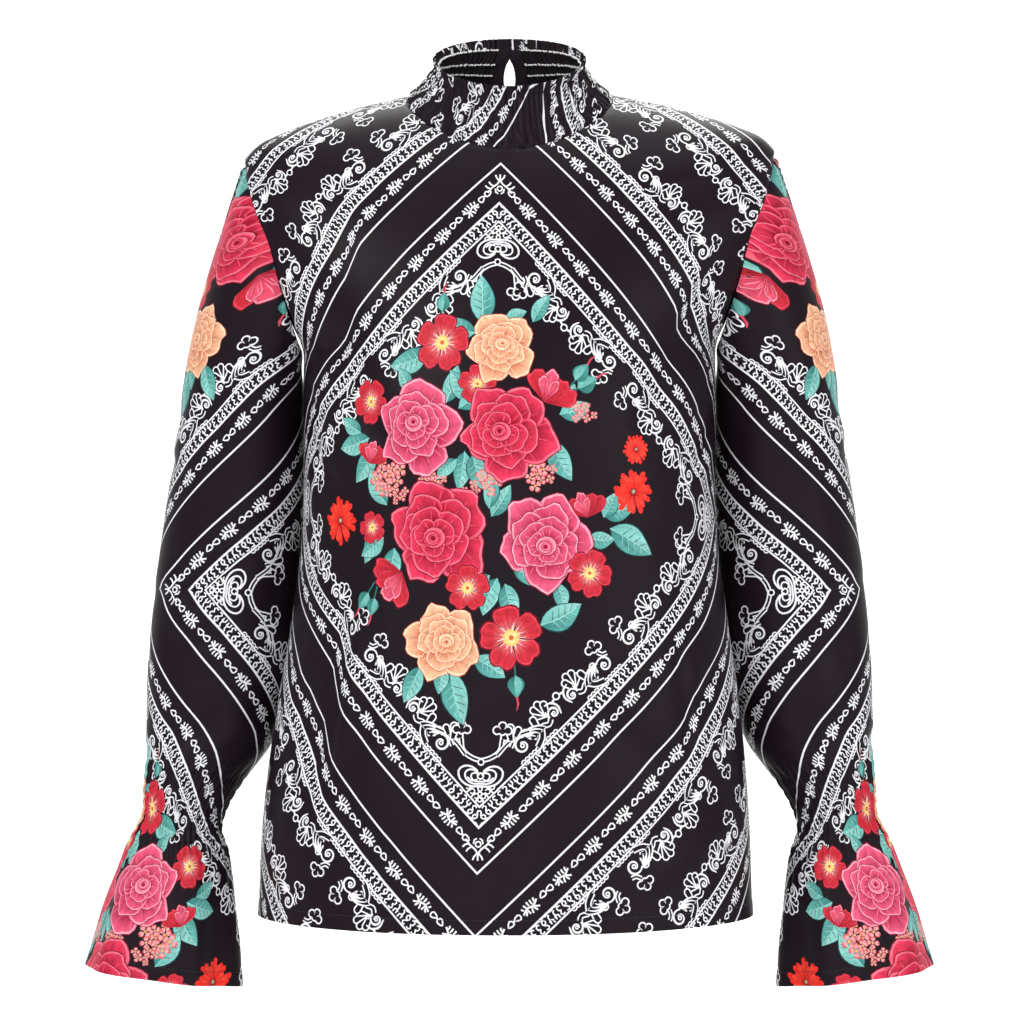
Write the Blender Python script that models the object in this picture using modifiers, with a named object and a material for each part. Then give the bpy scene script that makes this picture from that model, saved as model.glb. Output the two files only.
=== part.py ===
"""A woman's blouse, held out in the round as it is worn, open at the neck, hem and cuffs.

Front and back panels, two set-in sleeves that elastic gathers at the wrist above a flared cuff, and a
gathered stand collar with a keyhole, a button and a loop at the centre back. +Z is up, the front faces
-Y, and the origin is on the shoulder line at the side of the neck, midway between the two shoulders.
"""

import math

import bmesh
import bpy
import numpy as np

MM = 0.001  # the tables below are in millimetres, and everything else is in metres

CLOTH = 1.2 * MM
SEAM_GAP = 0.3 * MM
SHOULDER_LEAN = 3.5 * MM  # how far the shoulder on +X is lifted and the other one lowered
SHOULDER_X = 206.5 * MM
LEAN_FULL_Z = -0.15  # the lean is full above this height
LEAN_NONE_Z = -0.58  # and gone below this one
HEM_SWING = -3.0 * MM  # the body's hem hangs this far to one side
SWING_FULL_Z = -0.60
SWING_NONE_Z = -0.40

# Sections of the body from the hem up over the shoulders to the top of the collar. The edge is the side
# seam, then the armhole, then the shoulder seam, and its x is given for the front and the back panel.
BODY_COLUMNS = (
    "front_edge_x", "back_edge_x", "edge_z", "front_edge_y", "back_edge_y", "side_y",
    "front_y", "front_z", "back_y", "back_z", "lift", "roundness",
)
BODY = {
    "hem": (191.5, 191.5, -632, -16, -16, -16, -145, -636, 124, -634, 0, 2.2),
    "low hip": (188.5, 188.5, -560, -17, -17, -17, -141, -562, 119, -561, 0, 2.2),
    "hip": (181, 181, -485, -18, -18, -18, -137, -487, 112, -486, 0, 2.2),
    "high hip": (169, 169, -405, -18, -18, -18, -134, -407, 103, -406, 0, 2.2),
    "waist": (160.5, 160.5, -335, -18, -18, -18, -133.5, -339, 98, -337, 0, 2.2),
    "ribs": (159.5, 159.5, -270, -17, -17, -17, -136, -278, 101, -274, 0, 2.2),
    "bust": (160, 160, -228, -14, -14, -14, -134.5, -242, 104, -236, 0, 2.2),
    "underarm": (160, 160, -197, -9, -9, -9, -130.5, -214, 105.5, -207, 0, 2.15),
    "scye bottom": (162, 164, -188, -32, 24, -6, -127, -197, 106.5, -189, 0, 2.1),
    "scye": (168, 173, -170, -48, 42, -4, -122, -178, 107, -168, 0, 2.1),
    "low notch": (177, 184, -142, -58, 54, -2, -115.5, -155, 106, -143, 0, 2.1),
    "notch": (185, 192, -112, -57, 55, 0, -108, -133, 103, -119, 0, 2.1),
    "high notch": (196, 200, -86, -46, 46, 0, -101, -114, 99, -98, 2, 2.1),
    "cap": (203, 204, -64, -29, 31, 1, -95.5, -100, 95, -80, 4, 2.05),
    "cap top": (206, 206, -49, -11, 13, 1, -91.5, -90, 92, -68, 6, 2.0),
    "shoulder tip": (206.5, 206.5, -42, 1, 1, 1, -89, -84, 90, -60, 8, 2.0),
    "round of shoulder": (197, 197, -32, 1, 1, 1, -87, -79, 88, -52, 10, 2.0),
    "outer shoulder": (178, 178, -23, 1, 1, 1, -84, -72, 85, -43, 12, 2.0),
    "shoulder": (146, 146, -12.5, 1, 1, 1, -79, -61, 79, -25, 17, 2.0),
    "inner shoulder": (112, 112, -4, 1, 1, 1, -74, -51, 72, -8, 22, 2.0),
    "neck": (81, 81, 1, 0, 0, 0, -70, -43, 65, 5, 24, 2.0),
}
COLLAR = {
    "neck": (81, 81, 1, 0, 0, 0, -70, -43, 65, 5, 24, 2.0),
    "low stand": (71, 71, 9.5, 0, 0, 0, -67, -32, 60.5, 16, 24, 2.0),
    "stand": (63.5, 63.5, 18.5, 0, 0, 0, -64.2, -17, 57.3, 31, 24, 2.0),
    "top elastic": (58, 58, 25.5, 0, 0, 0, -61.8, -6, 54.6, 43, 24, 2.0),
    "rim": (59, 59, 32.5, 0, 0, 0, -62.5, 4.6, 55.5, 54.5, 24.5, 2.0),
}
BODY_STRIPS = 10  # strips of facets from the hem to the underarm
SCYE_STRIPS = 13  # from the underarm to the shoulder tip, along the armhole
SHOULDER_STRIPS = 4  # from the shoulder tip to the neck
PANEL_STRIPS = 20  # across each panel
ROW_SAMPLES = 240  # points that a row is measured with before it is divided evenly
SAME_PLACE = 0.001 * MM

# Sections of the sleeve on +X from the upper arm to the cuff's hem. The tilt lifts a section's outer side.
SLEEVE_COLUMNS = ("centre_x", "centre_y", "centre_z", "half_width", "half_depth", "tilt")
SLEEVE = {
    "upper arm": (208.4, 15, -238, 48.6, 62, 3),
    "above elbow": (213.8, 27, -312, 55.7, 58, 4),
    "elbow": (223, 31, -400, 58, 55, 5),
    "forearm": (230.7, 31, -466, 55.3, 51, 6),
    "low forearm": (237.5, 28, -500, 48.5, 46, 8),
    "droop": (246.7, 24, -522, 39.6, 41, 12),
    "above wrist": (254, 20, -545, 33.7, 34, 12),
    "wrist": (257, 17, -565, 32, 29, 11),
    "under wrist": (258.3, 16, -580, 38.3, 33.5, 9),
    "top of flare": (260.6, 16, -599, 44, 38, 8),
    "flare": (264.6, 15, -626, 50.5, 42.5, 8),
    "low flare": (267.8, 14, -655, 56.2, 46, 7),
    "cuff hem": (271, 14, -683.5, 61, 48.5, 7),
}
CAP_STRIPS = 7  # from the armhole seam's lip to the upper arm
ARM_STRIPS = 6  # from the upper arm to the first gathers
GATHER_START_Z = -0.502
WRIST_HEIGHTS = (-0.527, -0.547, -0.565, -0.582, -0.608, -0.645, -0.6835)
WRIST_RAISE = (0.5, 1.3, 1.5, 1.4, 1.1, 0.8, 0.6)  # how far the gathers stand out at each height, mm
POINTS_PER_FACET = 3  # a facet above the wrist meets this many points below it
SEAM_LIP = 3.0 * MM
FLARE_WAVES = 6
FLARE_WAVE = 3.0 * MM

COLLAR_POINTS_PER_FACET = 5
COLLAR_HEIGHTS = (0.0, 0.16, 0.45, 0.80, 1.0)  # shares of the way up the stand
COLLAR_RAISE = (0.0, 0.9, 1.2, 0.7, 1.3)  # how far the gathers stand out at each height, mm

KEYHOLE_BOTTOM_Z = 0.016
KEYHOLE_TOP_Z = 0.042
KEYHOLE_WIDTH = 10.0 * MM
KEYHOLE_SLIT = 0.8 * MM
KEYHOLE_SIDES = 20
PLAIN_BESIDE_KEYHOLE = 11.0 * MM

BUTTON_RADIUS = 4.0 * MM
BUTTON_THICKNESS = 2.2 * MM
BUTTON_X = 4.6 * MM
BUTTON_Z = 0.0482
BUTTON_Y = 0.0571
LOOP_RADIUS = 0.5 * MM
LOOP_END_X = -4.0 * MM

# The largest folds: a soft trough or ridge along the line between two points, on one piece.
FOLD_COLUMNS = ("x0", "y0", "z0", "x1", "y1", "z1", "width", "depth")
FOLDS = {
    "front": (
        (-150, -90, -175, -85, -125, -290, 16, 5),
        (150, -90, -170, 95, -125, -270, 16, 5),
        (60, -140, -470, 165, -70, -560, 18, 4),
        (-170, -70, -440, -95, -125, -600, 20, 4),
    ),
    "back": (
        (-150, 80, -175, -90, 100, -290, 18, 5),
        (150, 80, -175, 85, 100, -300, 18, 5),
        (-110, 95, -360, 30, 105, -385, 18, 4),
        (60, 110, -460, 150, 70, -560, 20, 4),
    ),
    "sleeve": (
        (185, -45, -200, 245, -40, -262, 14, 5),
        (265, -10, -385, 200, -28, -355, 14, 5),
        (275, 0, -430, 205, -25, -415, 13, 4),
        (276, 0, -500, 215, -20, -478, 12, 4),
        (190, 62, -350, 262, 60, -320, 16, 5),
        (196, 68, -420, 268, 62, -400, 14, 5),
    ),
}
FOLD_END = 0.25  # share of a fold's length over which it dies out at each end
FOLD_CLEAR_OF_SEAM = 30.0 * MM

SATIN = (0.020, 0.013, 0.020, 1.0)
BUTTON_COLOUR = (0.012, 0.009, 0.012, 1.0)
THREAD_COLOUR = (0.16, 0.012, 0.025, 1.0)


def clear_scene():
    for item in list(bpy.data.objects):
        bpy.data.objects.remove(item, do_unlink=True)


def new_collection(name):
    collection = bpy.data.collections.new(name)
    bpy.context.scene.collection.children.link(collection)
    return collection


def new_material(name, colour, roughness):
    material = bpy.data.materials.new(name)
    material.use_nodes = True
    shader = material.node_tree.nodes["Principled BSDF"]
    shader.inputs["Base Color"].default_value = colour
    shader.inputs["Roughness"].default_value = roughness
    shader.inputs["Metallic"].default_value = 0.0
    return material


def unit(vectors):
    return vectors / np.maximum(np.linalg.norm(vectors, axis=-1, keepdims=True), 1e-12)


def ease(share):
    share = np.clip(share, 0.0, 1.0)
    return share * share * (3.0 - 2.0 * share)


def smooth(knots, values, wanted):
    """Reads the smooth curve that passes through the values, a row of columns at each knot."""
    knots = np.asarray(knots, float)
    values = np.asarray(values, float)
    wanted = np.atleast_1d(np.asarray(wanted, float))
    slopes = np.gradient(values, knots, axis=0)
    i = np.clip(np.searchsorted(knots, wanted, side="right") - 1, 0, len(knots) - 2)
    span = (knots[i + 1] - knots[i])[:, None]
    t = (wanted - knots[i])[:, None] / span
    start = (1 + 2 * t) * (1 - t) ** 2 * values[i] + t * (1 - t) ** 2 * span * slopes[i]
    end = t * t * (3 - 2 * t) * values[i + 1] - t * t * (1 - t) * span * slopes[i + 1]
    return start + end


def body_knots(table):
    """How far up the cloth each section of the table lies, midway between its edge and the front."""
    rows = np.array(list(table.values()), float)
    column = {name: rows[:, k] for k, name in enumerate(BODY_COLUMNS)}
    edge = np.stack((column["front_edge_x"], column["front_edge_y"], column["edge_z"]), axis=1)
    front = np.stack((column["front_y"], column["front_z"]), axis=1)
    steps = np.linalg.norm(np.diff(edge, axis=0), axis=1) + np.linalg.norm(np.diff(front, axis=0), axis=1)
    return np.concatenate(((0.0,), np.cumsum(steps)))


def evenly(points, count):
    """Divides a line of points into a number of equal steps."""
    steps = np.linalg.norm(np.diff(points, axis=0), axis=1)
    along = np.concatenate(((0.0,), np.cumsum(steps)))
    wanted = np.linspace(0.0, along[-1], count + 1)
    return np.stack([np.interp(wanted, along, points[:, k]) for k in range(3)], axis=1)


def section_row(values, side, strips):
    """A row of points across the front (side -1) or the back (side +1), from -X to +X, and the way that
    it runs into the edge on +X."""
    row = dict(zip(BODY_COLUMNS, values))
    panel = "front" if side < 0 else "back"
    edge_x = row[panel + "_edge_x"] * MM
    edge_y = row[panel + "_edge_y"] * MM + side * SEAM_GAP / 2
    side_y = row["side_y"] * MM
    middle_y = row[panel + "_y"] * MM
    edge_z = row["edge_z"] * MM
    rise = side * row["lift"] * MM
    drop = row[panel + "_z"] * MM - edge_z - rise
    power = 2.0 / row["roundness"]
    edge_share = max((edge_y - side_y) / (middle_y - side_y), 1e-6)
    edge_turn = math.acos(edge_share ** (1.0 / power))
    half_width = edge_x / math.sin(edge_turn) ** power
    turn = np.linspace(0.0, edge_turn, ROW_SAMPLES)
    x = half_width * np.sin(turn) ** power
    y = side_y + (middle_y - side_y) * np.cos(turn) ** power
    q = (y - edge_y) / (middle_y - edge_y)
    z = edge_z + rise * q + drop * q * q
    line = np.stack((x, y, z), axis=1)
    half = evenly(line, strips // 2)
    mirrored = half[:0:-1] * (-1.0, 1.0, 1.0)
    return np.concatenate((mirrored, half)), unit(line[-1] - line[-2])


def panel_grid(side):
    """The front or the back panel as rows of points, from the hem to the neck, and the way that each row
    runs into its edge on +X."""
    knots = body_knots(BODY)
    names = list(BODY)
    underarm = knots[names.index("underarm")]
    tip = knots[names.index("shoulder tip")]
    heights = np.concatenate((
        np.linspace(0.0, underarm, BODY_STRIPS + 1),
        np.linspace(underarm, tip, SCYE_STRIPS + 1)[1:],
        np.linspace(tip, knots[-1], SHOULDER_STRIPS + 1)[1:],
    ))
    rows = smooth(knots, list(BODY.values()), heights)
    grid, ways = zip(*[section_row(values, side, PANEL_STRIPS) for values in rows])
    return np.array(grid), np.array(ways)


def ring_faces(counts, closed):
    """Faces between rings of points, where a ring may have a whole multiple of the last one's spans."""
    faces = []
    start = 0
    for count, upper_count in zip(counts, counts[1:]):
        spans = count if closed else count - 1
        upper_spans = upper_count if closed else upper_count - 1
        times = upper_spans // spans
        upper = start + count
        for i in range(spans):
            a0 = start + i
            a1 = start + (i + 1) % count
            b = [upper + (i * times + j) % upper_count for j in range(times + 1)]
            if times == 1:
                faces.append((a0, a1, b[1], b[0]))
                continue
            middle = times // 2
            faces += [(a0, b[j + 1], b[j]) for j in range(middle)]
            faces.append((a0, a1, b[middle]))
            faces += [(a1, b[j + 1], b[j]) for j in range(middle, times)]
        start = upper
    return faces


def lean(points):
    """Lifts the shoulder on +X a little and lowers the other one."""
    share = ease((points[..., 2] - LEAN_NONE_Z) / (LEAN_FULL_Z - LEAN_NONE_Z))
    leaned = points.copy()
    across = points[..., 0] / SHOULDER_X
    leaned[..., 2] += SHOULDER_LEAN * across * np.abs(across) * share
    return leaned


def fold_depths(points, folds, mirror=1.0):
    """How far each point sinks in the folds that pass near it."""
    depth = np.zeros(len(points))
    for fold in folds:
        f = dict(zip(FOLD_COLUMNS, fold))
        start = np.array((f["x0"] * mirror, f["y0"], f["z0"])) * MM
        end = np.array((f["x1"] * mirror, f["y1"], f["z1"])) * MM
        line = end - start
        share = (points - start) @ line / (line @ line)
        nearest = start + np.clip(share, 0.0, 1.0)[:, None] * line
        away = np.linalg.norm(points - nearest, axis=1) / (f["width"] * MM)
        alive = ease(share / FOLD_END) * ease((1.0 - share) / FOLD_END)
        depth += f["depth"] * MM * np.exp(-away * away) * alive
    return depth


def swing(points):
    """Moves the lower body to one side."""
    share = ease((points[..., 2] - SWING_NONE_Z) / (SWING_FULL_Z - SWING_NONE_Z))
    swung = points.copy()
    swung[..., 0] += HEM_SWING * share
    return swung


def cloth_sheet(name, rings, closed, flip):
    """An open sheet of cloth through rings of points."""
    counts = [len(ring) for ring in rings]
    points = lean(np.concatenate(rings))
    faces = ring_faces(counts, closed)
    if flip:
        faces = [tuple(reversed(face)) for face in faces]
    mesh = bpy.data.meshes.new(name)
    mesh.from_pydata(points.tolist(), [], faces)
    mesh.update()
    return mesh


def mesh_points(mesh):
    points = np.empty(len(mesh.vertices) * 3)
    mesh.vertices.foreach_get("co", points)
    return points.reshape(-1, 3)


def mesh_normals(mesh):
    normals = np.empty(len(mesh.vertices) * 3)
    mesh.vertex_normals.foreach_get("vector", normals)
    return normals.reshape(-1, 3)


def move_points(mesh, points):
    mesh.vertices.foreach_set("co", points.ravel())
    mesh.update()


def cloth_wall(name, mesh, normals, raised, material, collection):
    """Thickens a sheet inwards along its normals into a closed wall, whose outer points stand out by the
    raised heights over a plain inside."""
    mesh.materials.append(material)
    wall = bpy.data.objects.new(name, mesh)
    collection.objects.link(wall)
    thicken = wall.modifiers.new("Cloth", "SOLIDIFY")
    thicken.thickness = CLOTH
    thicken.offset = -1.0
    thicken.use_rim = True
    sheet = mesh_points(mesh)
    bpy.context.view_layer.update()
    evaluated = wall.evaluated_get(bpy.context.evaluated_depsgraph_get())
    solid = bpy.data.meshes.new_from_object(evaluated)
    solid.name = name
    points = mesh_points(solid)
    count = len(sheet)
    first_is_outer = np.abs(points[:count] - sheet).max() < SAME_PLACE
    outer = slice(0, count) if first_is_outer else slice(count, 2 * count)
    inner = slice(count, 2 * count) if first_is_outer else slice(0, count)
    points[outer] = sheet + normals * raised[:, None]
    points[inner] = sheet - normals * CLOTH
    move_points(solid, points)
    wall.modifiers.clear()
    wall.data = solid
    return wall


def edge_normals(grid, ways, side, normals):
    """The panel's normals along its edge on +X. Where it meets the other panel they are worked out from
    the seam and the rows that run into it, so that both panels share them."""
    edge = normals.reshape(grid.shape)[:, -1].copy()
    first = BODY_STRIPS
    last = BODY_STRIPS + SCYE_STRIPS
    up = np.gradient(grid[:, -1], axis=0)
    up[first] = grid[first, -1] - grid[first - 1, -1]
    up[last] = grid[last + 1, -1] - grid[last, -1]
    shared = unit(np.cross(up, ways) * side)
    edge[:first + 1] = shared[:first + 1]
    edge[last:] = shared[last:]
    return edge


def make_panel(name, side, material, collection):
    """Makes a panel. Returns its grid of points and its normals along the edge on +X."""
    grid, ways = panel_grid(side)
    mesh = cloth_sheet(name, list(grid), False, side > 0)
    across = np.linspace(-1.0, 1.0, grid.shape[1])
    half_row = np.linalg.norm(np.diff(grid, axis=1), axis=2).sum(axis=1) / 2
    from_edge = (1.0 - np.abs(across))[None, :] * half_row[:, None]
    clear = ease(from_edge.ravel() / FOLD_CLEAR_OF_SEAM)
    points = swing(mesh_points(mesh))
    move_points(mesh, points)
    depth = fold_depths(points, FOLDS[name]) * clear
    move_points(mesh, points - mesh_normals(mesh) * depth[:, None])
    normals = mesh_normals(mesh)
    edge = edge_normals(grid, ways, side, normals)
    by_row = normals.reshape(grid.shape)
    by_row[:, -1] = edge
    by_row[:, 0] = edge * (-1.0, 1.0, 1.0)
    cloth_wall(name, mesh, normals, np.zeros(len(points)), material, collection)
    return grid, edge


def armhole(front, front_normals, back, back_normals):
    """The armhole on +X, from the underarm up the front to the shoulder tip and down the back, with the
    way that cloth leaves it along the panels' own surface, and the panels' normals."""
    first = BODY_STRIPS
    last = BODY_STRIPS + SCYE_STRIPS
    points = []
    ways = []
    normals = []
    sides = (
        (front, front_normals, range(first, last + 1)),
        (back, back_normals, range(last - 1, first, -1)),
    )
    for grid, edge, rows in sides:
        for r in rows:
            point = grid[r, -1]
            if r == first:
                way = point - grid[r - 1, -1]
            elif r == last:
                way = point - grid[r + 1, -1]
            else:
                along = unit(grid[r + 1, -1] - grid[r - 1, -1])
                way = point - grid[r, -2]
                way = way - (way @ along) * along
            points.append(point)
            ways.append(unit(way))
            normals.append(edge[r])
    ways = np.array(ways)
    ways = unit(np.roll(ways, 1, axis=0) + 2 * ways + np.roll(ways, -1, axis=0))
    return np.array(points), ways, np.array(normals)


def sleeve_ring(values, turns):
    s = dict(zip(SLEEVE_COLUMNS, values))
    tilt = math.radians(s["tilt"])
    across = -np.cos(turns) * s["half_width"] * MM
    x = s["centre_x"] * MM + across * math.cos(tilt)
    y = s["centre_y"] * MM - np.sin(turns) * s["half_depth"] * MM
    z = s["centre_z"] * MM + across * math.sin(tilt)
    return np.stack((x, y, z), axis=1)


def sleeve_sections(heights):
    """The sleeve's sections where its middle line passes the heights."""
    rows = np.array(list(SLEEVE.values()), float)
    middle = rows[:, SLEEVE_COLUMNS.index("centre_z")]
    return smooth(-middle * MM, rows, -np.asarray(heights))


def cap_rings(seam, ways, upper_arm, turns):
    """Rings from the armhole seam to the upper arm: a narrow lip that lies on with the panels, then a
    smooth turn down into the arm."""
    facing_down = (1.0 + np.cos(turns)) / 2  # 1 at the underarm and 0 at the shoulder tip
    leave = np.stack(np.broadcast_arrays(
        0.29 - 0.14 * facing_down,
        -0.15 * np.sin(turns),
        -0.95,
    ), axis=1)
    leave = unit(leave)
    lip_way = unit(ways * (1.0 - facing_down)[:, None] + leave * facing_down[:, None])
    start = seam + ways * SEAM_GAP
    lip = start + lip_way * SEAM_LIP
    reach = np.linalg.norm(upper_arm - lip, axis=1)[:, None]
    arrive = np.array((0.06, 0.0, -1.0))
    rings = [start, lip]
    for t in np.linspace(0.0, 1.0, CAP_STRIPS + 1)[1:]:
        rings.append(
            (1 + 2 * t) * (1 - t) ** 2 * lip
            + t * (1 - t) ** 2 * reach * leave
            + t * t * (3 - 2 * t) * upper_arm
            - t * t * (1 - t) * reach * arrive
        )
    return rings


def make_sleeve(name, mirror, seam, ways, seam_normals, material, collection):
    steps = np.linalg.norm(np.roll(seam, -1, axis=0) - seam, axis=1)
    turns = 2 * math.pi * np.concatenate(((0.0,), np.cumsum(steps)[:-1])) / steps.sum()
    top_z = SLEEVE["upper arm"][2] * MM
    rings = cap_rings(seam, ways, sleeve_ring(SLEEVE["upper arm"], turns), turns)
    for values in sleeve_sections(np.linspace(top_z, GATHER_START_Z, ARM_STRIPS + 1)[1:]):
        rings.append(sleeve_ring(values, turns))
    fine = len(turns) * POINTS_PER_FACET
    fine_turns = np.interp(
        np.arange(fine) / POINTS_PER_FACET, np.arange(len(turns) + 1), np.append(turns, 2 * math.pi))
    plain = sum(len(ring) for ring in rings)
    raise_by = [np.zeros(plain)]
    for k, values in enumerate(sleeve_sections(WRIST_HEIGHTS)):
        ring = sleeve_ring(values, fine_turns)
        below_wrist = ease(k / (len(WRIST_HEIGHTS) - 1) - 0.5) * 2
        wave = FLARE_WAVE * below_wrist * np.sin(FLARE_WAVES * fine_turns + 0.8 * np.sin(fine_turns))
        outwards = unit(ring - ring.mean(axis=0))
        rings.append(ring + outwards * wave[:, None])
        stands = np.arange(fine) % 2
        uneven = 0.8 + 0.2 * np.sin(5.0 * fine_turns + k)
        raise_by.append(stands * uneven * WRIST_RAISE[k] * MM)
    scale = np.array((mirror, 1.0, 1.0))
    mesh = cloth_sheet(name, [ring * scale for ring in rings], True, mirror > 0)
    points = mesh_points(mesh)
    share = np.arange(len(points)) / plain
    depth = fold_depths(points, FOLDS["sleeve"], mirror) * ease(share * 4 - 0.3)
    move_points(mesh, points - mesh_normals(mesh) * depth[:, None])
    normals = mesh_normals(mesh)
    folds_back = ease(((1.0 + np.cos(turns)) / 2 - 0.3) / 0.4)[:, None]
    shared = seam_normals * scale * (1.0 - folds_back) + normals[:len(seam)] * folds_back
    normals[:len(seam)] = unit(shared)
    cloth_wall(name, mesh, normals, np.concatenate(raise_by), material, collection)


def collar_ring(values, strips):
    """A closed ring round the neck, from the -X side along the front to +X and back along the back."""
    front = section_row(values, -1, strips)[0]
    back = section_row(values, 1, strips)[0]
    return np.concatenate((front, back[-2:0:-1]))


def make_collar(front, back, material, collection, cutters):
    base = np.concatenate((front[-1], back[-1, -2:0:-1]))
    inner = np.concatenate((front[-2], back[-2, -2:0:-1]))
    base = base + unit(base - inner) * SEAM_GAP
    fine = len(base) * COLLAR_POINTS_PER_FACET
    closed = np.concatenate((base, base[:1]))
    at = np.arange(fine) / COLLAR_POINTS_PER_FACET
    ring = np.stack([np.interp(at, np.arange(len(closed)), closed[:, k]) for k in range(3)], axis=1)
    knots = body_knots(COLLAR)
    strips = PANEL_STRIPS * COLLAR_POINTS_PER_FACET
    rows = smooth(knots, list(COLLAR.values()), np.array(COLLAR_HEIGHTS) * knots[-1])
    rings = [ring] + [collar_ring(values, strips) for values in rows[1:]]
    mesh = cloth_sheet("collar", rings, True, False)
    points = mesh_points(mesh)
    beside = np.where(points[:, 1] > 0, np.abs(points[:, 0]), 1.0)
    gathered = ease((beside - 0.7 * PLAIN_BESIDE_KEYHOLE) / (0.5 * PLAIN_BESIDE_KEYHOLE))
    stands = np.tile(np.arange(fine) % 2, len(rings))
    heights = np.repeat(COLLAR_RAISE, fine) * MM
    uneven = 0.8 + 0.2 * np.sin(np.tile(np.arange(fine) * 0.9, len(rings)))
    raised = stands * heights * uneven * gathered
    wall = cloth_wall("collar", mesh, mesh_normals(mesh), raised, material, collection)
    cutter = make_keyhole(cutters)
    cut = wall.modifiers.new("Keyhole", "BOOLEAN")
    cut.operation = "DIFFERENCE"
    cut.solver = "EXACT"
    cut.object = cutter
    return wall


def make_keyhole(cutters):
    """The keyhole's outline, an oval with a slit up through the rim, pushed through the back of the stand."""
    middle = (KEYHOLE_BOTTOM_Z + KEYHOLE_TOP_Z) / 2
    half = (KEYHOLE_TOP_Z - KEYHOLE_BOTTOM_Z) / 2
    slit = math.asin(KEYHOLE_SLIT / KEYHOLE_WIDTH)
    outline = []
    for k in range(KEYHOLE_SIDES + 1):
        turn = slit + (2 * math.pi - 2 * slit) * k / KEYHOLE_SIDES
        outline.append((math.sin(turn) * KEYHOLE_WIDTH / 2, middle + math.cos(turn) * half))
    above_rim = COLLAR["rim"][BODY_COLUMNS.index("back_z")] * MM + 10 * MM
    outline.append((-KEYHOLE_SLIT / 2, above_rim))
    outline.append((KEYHOLE_SLIT / 2, above_rim))
    reach = 30 * MM
    start_y = COLLAR["stand"][BODY_COLUMNS.index("back_y")] * MM - reach / 2
    shape = bmesh.new()
    face = shape.faces.new([shape.verts.new((x, start_y, z)) for x, z in outline])
    pushed = bmesh.ops.extrude_face_region(shape, geom=[face])
    moved = [item for item in pushed["geom"] if isinstance(item, bmesh.types.BMVert)]
    bmesh.ops.translate(shape, vec=(0.0, reach, 0.0), verts=moved)
    bmesh.ops.recalc_face_normals(shape, faces=shape.faces)
    mesh = bpy.data.meshes.new("keyhole_cutter")
    shape.to_mesh(mesh)
    shape.free()
    cutter = bpy.data.objects.new("keyhole_cutter", mesh)
    cutters.objects.link(cutter)
    cutter.hide_render = True
    cutter.display_type = "WIRE"
    return cutter


def make_button(material, collection):
    bpy.ops.mesh.primitive_cylinder_add(
        vertices=24, radius=BUTTON_RADIUS, depth=BUTTON_THICKNESS,
        location=(BUTTON_X, BUTTON_Y + BUTTON_THICKNESS / 2, BUTTON_Z), rotation=(math.pi / 2, 0.0, 0.0))
    button = bpy.context.object
    button.name = "neck_button"
    for other in list(button.users_collection):
        other.objects.unlink(button)
    collection.objects.link(button)
    button.data.materials.append(material)
    round_edge = button.modifiers.new("Round edge", "BEVEL")
    round_edge.width = 0.6 * MM
    round_edge.segments = 2
    return button


def make_loop(material, collection):
    """The loop, from the keyhole's far edge round the button's shank side and back."""
    round_button = BUTTON_RADIUS + SEAM_GAP + LOOP_RADIUS
    y = BUTTON_Y + LOOP_RADIUS
    route = [(LOOP_END_X, y, BUTTON_Z + round_button)]
    for k in range(13):
        turn = math.pi * k / 12
        route.append((
            BUTTON_X + round_button * math.sin(turn), y, BUTTON_Z + round_button * math.cos(turn)))
    route.append((LOOP_END_X, y, BUTTON_Z - round_button))
    curve = bpy.data.curves.new("neck_loop", "CURVE")
    curve.dimensions = "3D"
    curve.bevel_depth = LOOP_RADIUS
    curve.bevel_resolution = 2
    curve.use_fill_caps = True
    spline = curve.splines.new("POLY")
    spline.points.add(len(route) - 1)
    for point, place in zip(spline.points, route):
        point.co = (*place, 1.0)
    curve.materials.append(material)
    loop = bpy.data.objects.new("neck_loop", curve)
    collection.objects.link(loop)
    return loop


def main():
    clear_scene()
    blouse = new_collection("blouse")
    cutters = new_collection("cutters")
    cutters.hide_render = True
    satin = new_material("satin", SATIN, 0.45)
    button_resin = new_material("button resin", BUTTON_COLOUR, 0.3)
    thread = new_material("loop thread", THREAD_COLOUR, 0.7)
    front, front_edge = make_panel("front", -1, satin, blouse)
    back, back_edge = make_panel("back", 1, satin, blouse)
    seam = armhole(front, front_edge, back, back_edge)
    make_sleeve("sleeve_left", 1.0, *seam, satin, blouse)
    make_sleeve("sleeve_right", -1.0, *seam, satin, blouse)
    make_collar(front, back, satin, blouse, cutters)
    make_button(button_resin, blouse)
    make_loop(thread, blouse)


main()
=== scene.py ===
"""The looks of a printed satin blouse: its five pieces of cloth with their creases and gathers, the print
that lies on them, the sewing and elastic, and the studio that it is seen in."""

import math

import bpy
import numpy as np
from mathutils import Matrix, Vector, kdtree
from mathutils.bvhtree import BVHTree
from mathutils.geometry import delaunay_2d_cdt


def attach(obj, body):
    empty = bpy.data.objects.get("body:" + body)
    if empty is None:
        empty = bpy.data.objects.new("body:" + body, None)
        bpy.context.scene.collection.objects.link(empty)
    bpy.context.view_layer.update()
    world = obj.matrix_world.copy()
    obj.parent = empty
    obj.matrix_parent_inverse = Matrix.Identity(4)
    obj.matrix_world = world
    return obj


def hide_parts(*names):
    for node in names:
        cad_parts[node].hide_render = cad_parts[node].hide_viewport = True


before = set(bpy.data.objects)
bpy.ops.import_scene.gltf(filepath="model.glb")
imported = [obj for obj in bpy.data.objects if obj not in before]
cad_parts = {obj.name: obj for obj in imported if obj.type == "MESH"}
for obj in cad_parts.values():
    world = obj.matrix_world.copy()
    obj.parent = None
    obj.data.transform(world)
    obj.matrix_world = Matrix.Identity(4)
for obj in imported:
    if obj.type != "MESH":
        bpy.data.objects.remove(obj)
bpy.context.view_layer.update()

MM = 0.001  # tables and flat places are in millimetres, and places in space are in metres

# ---------------------------------------------------------------- the cloth's own form

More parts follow.
